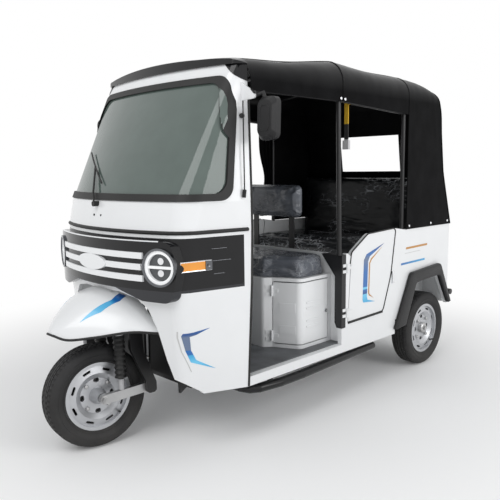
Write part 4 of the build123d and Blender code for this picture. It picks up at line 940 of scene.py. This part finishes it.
def fading(name, axis, low, high, stops):
    """A printed finish whose colour changes along one axis."""
    made, tree, sockets = new_finish(name, Roughness=0.28, Coat_Weight=0.4)
    ramp = tree.nodes.new("ShaderNodeValToRGB")
    while len(ramp.color_ramp.elements) < len(stops):
        ramp.color_ramp.elements.new(0.5)
    for element, (place, colour) in zip(ramp.color_ramp.elements, stops):
        element.position = place
        element.color = (*colour, 1)
    tree.links.new(map_node(tree, axis_value(made, axis), low, high), ramp.inputs["Fac"])
    tree.links.new(ramp.outputs["Color"], sockets["Base Color"])
    return made


nose_print = fading("nose_stripe_blue", "Z", 0.415, 0.616, (
    (0.0, SKY), (0.22, ICE), (0.40, SKY), (0.42, MID_BLUE), (0.52, MID_BLUE), (0.54, STEEL_BLUE),
    (0.84, STEEL_BLUE), (0.90, NIGHT), (1.0, MID_BLUE)))
door_print = fading("door_stripe_blue", "Z", 0.545, 0.887, (
    (0.0, SKY), (0.17, ICE), (0.18, NIGHT), (0.25, MID_BLUE), (0.26, ICE), (0.29, ICE), (0.30, MID_BLUE),
    (0.55, MID_BLUE), (0.78, STEEL_BLUE), (0.86, MID_BLUE), (1.0, NIGHT)))
guard_print = fading("mudguard_stripe_blue", "Y", -1.265, -1.045, (
    (0.0, ICE), (0.6, SKY), (0.72, MID_BLUE), (1.0, NIGHT)))
dash_print = fading("panel_dash_blue", "Y", 0.70, 1.0, ((0.0, MID_BLUE), (1.0, SKY)))
orange_print = fading("stripe_orange", "Z", 0.5, 0.9, ((0.0, (0.42, 0.16, 0.02)), (1.0, (0.50, 0.23, 0.03))))
grey_print = fading("stripe_shadow", "Z", 0.4, 0.9, ((0.0, (0.50, 0.50, 0.50)), (1.0, (0.60, 0.60, 0.60))))
print("stripe finishes", [m.name for m in bpy.data.materials if "stripe" in m.name])

# %% [markdown]
# The shapes are drawn as seen from the side, and the flash of the mudguard as seen from above. Each
# is printed on both sides of the body.

# %% Printed stripes
OUTSIDE, ABOVE = 0.80, 0.95
# station from the rear axle, height
NOSE_HOOK = ((-1.911, 0.6155), (-1.990, 0.604), (-2.035, 0.602), (-2.040, 0.590), (-2.021, 0.517),
             (-1.997, 0.462), (-1.878, 0.4147), (-1.972, 0.470), (-1.998, 0.520), (-2.007, 0.585),
             (-1.976, 0.591))
NOSE_SHADE = ((-2.0500, 0.612), (-2.0485, 0.583), (-2.0330, 0.516), (-1.9900, 0.415), (-1.9940, 0.415),
              (-2.0370, 0.516), (-2.0525, 0.583), (-2.0540, 0.612))
DOOR_HOOK = ((-0.571, 0.887), (-0.752, 0.838), (-0.778, 0.806), (-0.786, 0.571), (-0.779, 0.556),
             (-0.656, 0.545), (-0.735, 0.566), (-0.742, 0.585), (-0.736, 0.795), (-0.718, 0.822))
DOOR_LINE = ((-0.590, 0.868), (-0.706, 0.808), (-0.724, 0.784), (-0.730, 0.604), (-0.722, 0.590),
             (-0.672, 0.568), (-0.716, 0.597), (-0.720, 0.607), (-0.714, 0.780), (-0.700, 0.800))
DASH_ORANGE = ((-0.318, 0.823), (-0.055, 0.827), (-0.055, 0.840), (-0.318, 0.836))
DASH_GREY = ((-0.330, 0.796), (-0.140, 0.799), (-0.140, 0.803), (-0.330, 0.800))
DASH_BLUE = ((-0.373, 0.727), (-0.082, 0.731), (-0.082, 0.744), (-0.373, 0.740))
# across, station from the rear axle
GUARD_FLASH = ((0.155, -2.121), (0.124, -2.138), (0.146, -2.195), (0.113, -2.345), (0.160, -2.262),
               (0.173, -2.168))
PRINTS = (
    # name, node, shape, body, finish
    ("nose_hook", "nose_panel", NOSE_HOOK, "body", nose_print),
    ("nose_shade", "nose_panel", NOSE_SHADE, "body", grey_print),
    ("door_hook", "door_SIDE", DOOR_HOOK, "SIDE_door", door_print),
    ("door_line", "door_SIDE", DOOR_LINE, "SIDE_door", orange_print),
    ("dash_orange", "body_side_SIDE", DASH_ORANGE, "body", orange_print),
    ("dash_grey", "body_side_SIDE", DASH_GREY, "body", grey_print),
    ("dash_blue", "body_side_SIDE", DASH_BLUE, "body", dash_print),
)
for side, sign in SIDES:
    for name, node, shape, body, material in PRINTS:
        corners = [at(sign * OUTSIDE, y, z) for y, z in shape]
        node, body = node.replace("SIDE", side), body.replace("SIDE", side)
        printed(f"{name}_{side}", node, corners, 0, body, material)
    corners = [at(sign * x, y, ABOVE) for x, y in GUARD_FLASH]
    printed(f"mudguard_flash_{side}", "front_mudguard", corners, 2, "body", guard_print)
print("stripes", 2 * len(PRINTS) + 2)

# %% [markdown]
# The pane laps over the upper corners of its rubber, so that the rubber keeps an even width there.
# The lap is the same kind of thin sheet as a print, in glass.

# %% Screen corners
AHEAD = -2.4
# across, height
SCREEN_LAP = ((0.4826, 1.6976), (0.5057, 1.6824), (0.5219, 1.6548), (0.5299, 1.6235), (0.5363, 1.5568),
              (0.5320, 1.478), (0.5240, 1.530), (0.5140, 1.5919), (0.4967, 1.6556))
for side, sign in SIDES:
    corners = [at(sign * x, AHEAD, z) for x, z in SCREEN_LAP]
    printed(f"screen_lap_{side}", "windscreen_seal", corners, 1, "body", smoke_glass)
print("screen laps", len(SIDES))

# %% [markdown]
# ## Rubber beads, piping and bright strips
# Rubber runs along the joint under the windscreen, down the edge of each doorway, round the half
# doors and along the lip of the mudguard. The soft top has piped seams over its bows and eaves.

# %% Beads
JOINT_R, DOORWAY_R, DOOR_R, SILL_R, LIP_R = 0.009, 0.006, 0.0042, 0.0075, 0.006
PIPING_R, STRIP_R, LINE_R, FRAME_R = 0.0022, 0.0035, 0.0016, 0.0028
JOINT_MID, JOINT_FROM = at(0, -1.70, 1.057), 1.4
joint_stops = []
for degrees in spread(-89, 89, 59):
    a = math.radians(degrees)
    start = JOINT_MID + Vector((math.sin(a), -math.cos(a), 0)) * JOINT_FROM
    joint_stops.append(touch("cab_front", start, JOINT_MID))
bead("cowl_joint", joint_stops, JOINT_R, "body", rubber)

# across, station and height of the doorway's front edge
DOORWAY_EDGE = ((0.570, -1.722, 0.302), (0.569, -1.694, 0.790), (0.568, -1.687, 1.062),
                (0.566, -1.687, 1.190), (0.552, -1.689, 1.690))
# station, height and rounding of the half door's edge
DOOR_EDGE = ((-0.928, 0.4625, 0), (-0.572, 0.4675, 0.040), (-0.490, 0.681, 0.4), (-0.442, 0.970, 0.024),
             (-0.741, 0.957, 0.060), (-0.900, 0.864, 0.030), (-0.912, 0.800, 0))
DOOR_SILL = ((-0.926, 0.4625), (-0.580, 0.4675))
DOOR_X = 0.570
# station, half width and height of the mudguard's lip
GUARD_LIP = ((-2.076, 0.350, 0.590), (-2.190, 0.288, 0.606), (-2.310, 0.188, 0.588), (-2.395, 0.092, 0.574),
             (-2.434, 0.026, 0.590))
for side, sign in SIDES:
    doorway_stops = [at(sign * x, y, z) for x, y, z in DOORWAY_EDGE]
    bead(f"doorway_rubber_{side}", doorway_stops, DOORWAY_R, "body", rubber)
    for name, edge, radius in (("door", rounded(DOOR_EDGE), DOOR_R), ("door_sill", DOOR_SILL, SILL_R)):
        door_stops = [at(sign * DOOR_X, y, z) for y, z in edge]
        bead(f"{name}_rubber_{side}", door_stops, radius, f"{side}_door", rubber)
lip = smooth(GUARD_LIP, 8)
lip_stops = [at(x, y, z) for y, x, z in lip] + [at(-x, y, z) for y, x, z in reversed(lip)]
bead("mudguard_lip", lip_stops, LIP_R, "body", rubber)

# the eave is this point of a front row, and of a quarter row past its longer wall
EAVE_END = 12
quarter_eave = EAVE_END + len(walls) - 1
eave_stops = [row[EAVE_END] for row in front_rows] + [row[quarter_eave] for row in quarter_rows[1:-1]]
for side, sign in SIDES:
    stops = [at(-sign * x, y, z) for x, y, z in eave_stops]
    bead(f"eave_piping_{side}", stops, PIPING_R, "body", vinyl_top)
for name, row in (("bow_piping_front", front_rows[0]), ("bow_piping_middle", front_rows[BAY_ROWS - 1]),
                  ("bow_piping_quarter", quarter_rows[0]), ("tail_piping", quarter_rows[-1])):
    bead(name, [at(*p) for p in row], PIPING_R, "body", vinyl_top)

PLATE_R, PLATE_BOW_Y, STRIP_HALF, STRIP_Z = 1.190, -1.010, 0.425, 1.0235
strip_stops = [at(x, PLATE_BOW_Y - math.sqrt(PLATE_R ** 2 - x ** 2), STRIP_Z)
               for x in spread(-STRIP_HALF, STRIP_HALF, 25)]
bead("grille_strip", strip_stops, STRIP_R, "body", chrome)
# start, end and height of the pressed lines on the side of the grille
SIDE_LINES = ((-1.906, -1.827, 0.980), (-1.899, -1.805, 0.925), (-1.895, -1.840, 0.865))
for side, sign in SIDES:
    for i, (y0, y1, z) in enumerate(SIDE_LINES):
        stops = [touch("grille_panel", at(sign * OUTSIDE, y, z), at(0, y, z)) for y in spread(y0, y1, 5)]
        bead(f"grille_line_{side}_{i}", stops, LINE_R, "body", smoked)
# a raised eight-sided frame on the back of each mirror: half of its corners, across and up
MIRROR_X, MIRROR_FRONT, MIRROR_Z = 0.678, -1.7135, 1.557
FRAME_HALF = ((-0.016, 0.056), (0.016, 0.056), (0.027, 0.038), (0.027, -0.038))
frame_ring = [*FRAME_HALF, *((-x, -z) for x, z in FRAME_HALF), FRAME_HALF[0]]
for side, sign in SIDES:
    stops = [at(sign * (MIRROR_X + x), MIRROR_FRONT, MIRROR_Z + z) for x, z in frame_ring]
    bead(f"mirror_frame_{side}", stops, FRAME_R, "body", plastic)

# %% [markdown]
# ## Nuts, caps, studs and small bright fittings
# Small turned pieces share one maker: a cylinder whose rim is bevelled and whose front face is inset
# and pushed, pointed along a given direction. Like pieces are joined into one.

# %% Turned fittings
RIM_SHARE = 0.12


def turned(place, out, radius, depth, sides=24, inset=0.3, push=-0.2):
    """A bevelled round or hexagonal piece that starts at a place and points outwards."""
    bpy.ops.object.select_all(action="DESELECT")
    middle = (0, 0, depth / 2)
    bpy.ops.mesh.primitive_cylinder_add(vertices=sides, radius=radius, depth=depth, location=middle)
    made = bpy.context.object
    bpy.ops.object.transform_apply(location=True)
    pick_faces(made, lambda centre, normal: normal.z > 0.9)
    bpy.ops.mesh.inset(thickness=radius * inset, depth=depth * push)
    bpy.ops.object.mode_set(mode="OBJECT")
    modify(made, "BEVEL", width=min(radius, depth) * RIM_SHARE, segments=2, limit_method="ANGLE")
    made.matrix_world = Matrix.Translation(place) @ Vector(out).to_track_quat("Z", "Y").to_matrix().to_4x4()
    return made


def joined(pieces):
    """Several objects as one."""
    only(pieces[0])
    for piece in pieces:
        piece.select_set(True)
    if len(pieces) > 1:
        bpy.ops.object.join()
    return pieces[0]


# radius, depth, sides, inset and push
NUT, HUB_CAP, HUB_NUT = (0.0105, 0.013, 6, 0.25, 0.15), (0.036, 0.020, 24, 0.22, 0.35), (0.015, 0.012, 6)
VALVE, STUD = (0.0045, 0.028, 24, 0.3, 0.2), (0.008, 0.005, 16, 0.3, 0.2)
LOCK, PLUG = (0.011, 0.009, 24, 0.35, -0.25), (0.0055, 0.002, 16, 0.3, 0.3)
CLIP = (0.011, 0.018, 20, 0.25, 0.2)
PROJECTOR, SCREW = (0.0155, 0.004, 28, 0.28, -0.6), (0.007, 0.003, 20, 0.3, -0.3)
NUTS, NUT_RING, NUT_FACE, HUB_NUT_FACE = 4, 0.076, 0.0258, 0.0518
VALVE_FROM, VALVE_TO = Vector((0.040, 0.104, -0.104)), Vector((0.058, 0.098, -0.098))
# along the axle and out from it: the brake drum that shows dark through the vents
DRUM = ((-0.034, 0.050), (0.006, 0.050), (0.006, 0.086), (0.001, 0.090), (0.001, 0.120), (0.010, 0.141),
        (-0.034, 0.146), (-0.034, 0.132), (-0.006, 0.128), (-0.006, 0.064), (-0.034, 0.050))
DRUM_STEPS = 48
for name, body, _, half_turn in WHEELS:
    place = hub_place(body) @ Matrix.Rotation(half_turn, 4, "Z")
    out = place.to_3x3() @ Vector((1, 0, 0))
    nuts = []
    for i in range(NUTS):
        a = 2 * math.pi * (i + 0.5) / NUTS
        seat = place @ Vector((NUT_FACE, NUT_RING * math.sin(a), NUT_RING * math.cos(a)))
        nuts.append(turned(seat, out, *NUT))
    if name != "front":
        nuts.append(turned(place @ Vector((NUT_FACE, 0, 0)), out, *HUB_CAP))
        nuts.append(turned(place @ Vector((HUB_NUT_FACE, 0, 0)), out, *HUB_NUT))
    settle(joined(nuts), f"{name}_wheel_nuts", body, bare_steel, 30)
    drum = spun(DRUM, DRUM_STEPS)
    drum.matrix_world = place
    settle(drum, f"{name}_brake_drum", body, black_metal, 30)
    valve = turned(place @ VALVE_FROM, place @ VALVE_TO - place @ VALVE_FROM, *VALVE)
    settle(valve, f"{name}_wheel_valve", body, rubber, 30)

# station and height of the studs along the hem, and of the hatch's lock
STUDS = ((-0.300, 0.972), (-0.030, 0.972), (0.195, 0.974), (-0.985, 1.700), (-1.020, 1.702))
STUD_X, LOCK_AT = 0.5755, (-1.008, 0.535)
PLUG_XS, PLUG_AT, PLUG_OUT = (-0.0648, -0.0024), (-2.1435, 1.1217), (0, -1, 0.21)
CLIP_AT, CLIP_OUT = (0.5473, -1.7218, 1.5746), (0.5, -0.85, 0)
stud_seats = [(at(s * STUD_X, y, z), (s, 0, 0)) for _, s in SIDES for y, z in STUDS]
lock_seat = touch("battery_hatch", at(OUTSIDE, *LOCK_AT), at(0, *LOCK_AT))
SMALL = (
    # name, body, finish, slot, form, places with their directions
    ("top_studs", "body", chrome, "chrome", STUD, stud_seats),
    ("hatch_lock", "hatch", chrome, "chrome", LOCK, [(lock_seat, (1, 0, 0))]),
    ("cowl_plugs", "body", rubber, "rubber", PLUG, [(at(x, *PLUG_AT), PLUG_OUT) for x in PLUG_XS]),
    ("aerial_clip", "body", plastic, "dark_plastic", CLIP, [(at(*CLIP_AT), CLIP_OUT)]),
)
for name, body, material, slot, form, seats in SMALL:
    settle(joined([turned(*seat, *form) for seat in seats]), name, body, material, 40)

LAMP_MID, LAMP_OUT = Vector((0.41345, -1.00806, 0.909)), Vector((0.3588, -0.9334, 0.0))
LAMP_AHEAD, LAMP_RISE = 0.3, (("high", 0.027), ("low", -0.027))
for side, sign in SIDES:
    mid, out = (Vector((sign * v.x, v.y, v.z)) for v in (LAMP_MID, LAMP_OUT))
    for name, rise in LAMP_RISE:
        before = mid + out * LAMP_AHEAD + Vector((0, 0, rise))
        eye = turned(touch("headlamp_lenses", before, before - out), out, *PROJECTOR)
        settle(eye, f"lamp_projector_{name}_{side}", "body", chrome, 40)

# %% [markdown]
# Door catches and the frames of the indicators are boxes: cubes that are scaled, inset on their
# front face, pushed in or out and bevelled.

# %% Boxed fittings
OUTWARDS, SAME_WAY = 0.5, 0.999


def boxed(place, turn, size, inset, push, bevel):
    """A bevelled box with a framed front face. Its front looks along the turned X axis."""
    bpy.ops.object.select_all(action="DESELECT")
    bpy.ops.mesh.primitive_cube_add(size=1, location=(0, 0, 0))
    made = bpy.context.object
    bpy.ops.transform.resize(value=size)
    bpy.ops.object.transform_apply(scale=True)
    pick_faces(made, lambda centre, normal: normal.x > 0.9)
    bpy.ops.mesh.inset(thickness=inset, depth=0)
    bpy.ops.transform.translate(value=(push, 0, 0))
    bpy.ops.object.mode_set(mode="OBJECT")
    modify(made, "BEVEL", width=bevel, segments=2, limit_method="ANGLE")
    made.matrix_world = Matrix.Translation(place) @ Matrix.Rotation(turn, 4, "Z")
    return made


def outer_face(node, sign):
    """Centre and normal of the largest face of a node that looks outwards on one side."""
    faces = [f for f in nodes[node].data.polygons if f.center.x * sign > 0 and f.normal.x * sign > OUTWARDS]
    way = max(faces, key=lambda f: f.area).normal.copy()
    flat = [f for f in faces if f.normal.dot(way) > SAME_WAY]
    area = sum(f.area for f in flat)
    return sum((f.center * f.area for f in flat), Vector()) / area, way


# size, inset, push and bevel
BEZEL = ((0.0095, 0.160, 0.047), 0.010, -0.0040, 0.0015)
END_BLOCK = ((0.0095, 0.034, 0.044), 0.004, -0.001, 0.0015)
CATCH = ((0.012, 0.016, 0.074), 0.003, 0.003, 0.0015)
BEZEL_IN, END_BACK, END_IN, SCREW_OUT = 0.0037, 0.062, 0.001, 0.004
CATCH_X, CATCH_Y, CATCH_Z = 0.5745, -0.474, 0.668
for side, sign in SIDES:
    face, way = outer_face("front_indicators", sign)
    turn = math.atan2(way.y, way.x)
    bezel = boxed(face - way * BEZEL_IN, turn, *BEZEL)
    settle(bezel, f"indicator_frame_{side}", "body", chrome, 40)
    rearwards = Vector((-way.y, way.x, 0)) * sign
    end_at = face + rearwards * END_BACK - way * END_IN
    end_block = boxed(end_at, turn, *END_BLOCK)
    screw = turned(end_at + way * SCREW_OUT, way, *SCREW)
    settle(joined([end_block, screw]), f"indicator_end_{side}", "body", smoked, 40)
    catch = boxed(at(sign * CATCH_X, CATCH_Y, CATCH_Z), 0 if sign > 0 else math.pi, *CATCH)
    settle(catch, f"door_catch_{side}", "body", chrome, 40)

# %% [markdown]
# ## Moulded mudguard flares and visor ends
# The black flares over the rear wheels are moulded with fat round edges: a merged copy of each solid
# has its flat faces cleaned and its edges bevelled. The visor laps over the upper corners of the
# screen surround: there a copy of the surround is cut by a slanted plane and lifted a little.

# %% Moulded pieces
FLAT_WITHIN, FLARE_ROUND, FLARE_EDGE = math.radians(2), 0.011, math.radians(40)
LAP_LIFT, LAP_X, LAP_Z, LAP_SLOPE = 0.003, 0.512, 1.764, math.radians(41)
CAB_MIDDLE = at(0, -1.40, 1.50)
flares = copy_of("wheel_flares")
edit_all(flares)
bpy.ops.mesh.dissolve_limited(angle_limit=FLAT_WITHIN)
bpy.ops.object.mode_set(mode="OBJECT")
modify(flares, "BEVEL", width=FLARE_ROUND, segments=4, limit_method="ANGLE", angle_limit=FLARE_EDGE)
settle(flares, "wheel_flares_rounded", "body", plastic, 50)
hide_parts("wheel_flares")

for side, sign in SIDES:
    lap = copy_of("cab_front")
    pick_faces(lap, lambda centre, normal: normal.dot(centre - CAB_MIDDLE) < 0 or centre.x * sign < 0)
    bpy.ops.mesh.delete(type="FACE")
    bpy.ops.mesh.select_all(action="SELECT")
    facing = (sign * math.sin(LAP_SLOPE), 0, math.cos(LAP_SLOPE))
    bpy.ops.mesh.bisect(plane_co=at(sign * LAP_X, 0, LAP_Z), plane_no=facing, clear_inner=True)
    bpy.ops.object.mode_set(mode="OBJECT")
    modify(lap, "SOLIDIFY", thickness=LAP_LIFT, offset=1.0)
    settle(lap, f"visor_end_{side}", "body", black_gloss, 40)
print("flares", len(flares.data.polygons), "faces, visor end", len(lap.data.polygons))
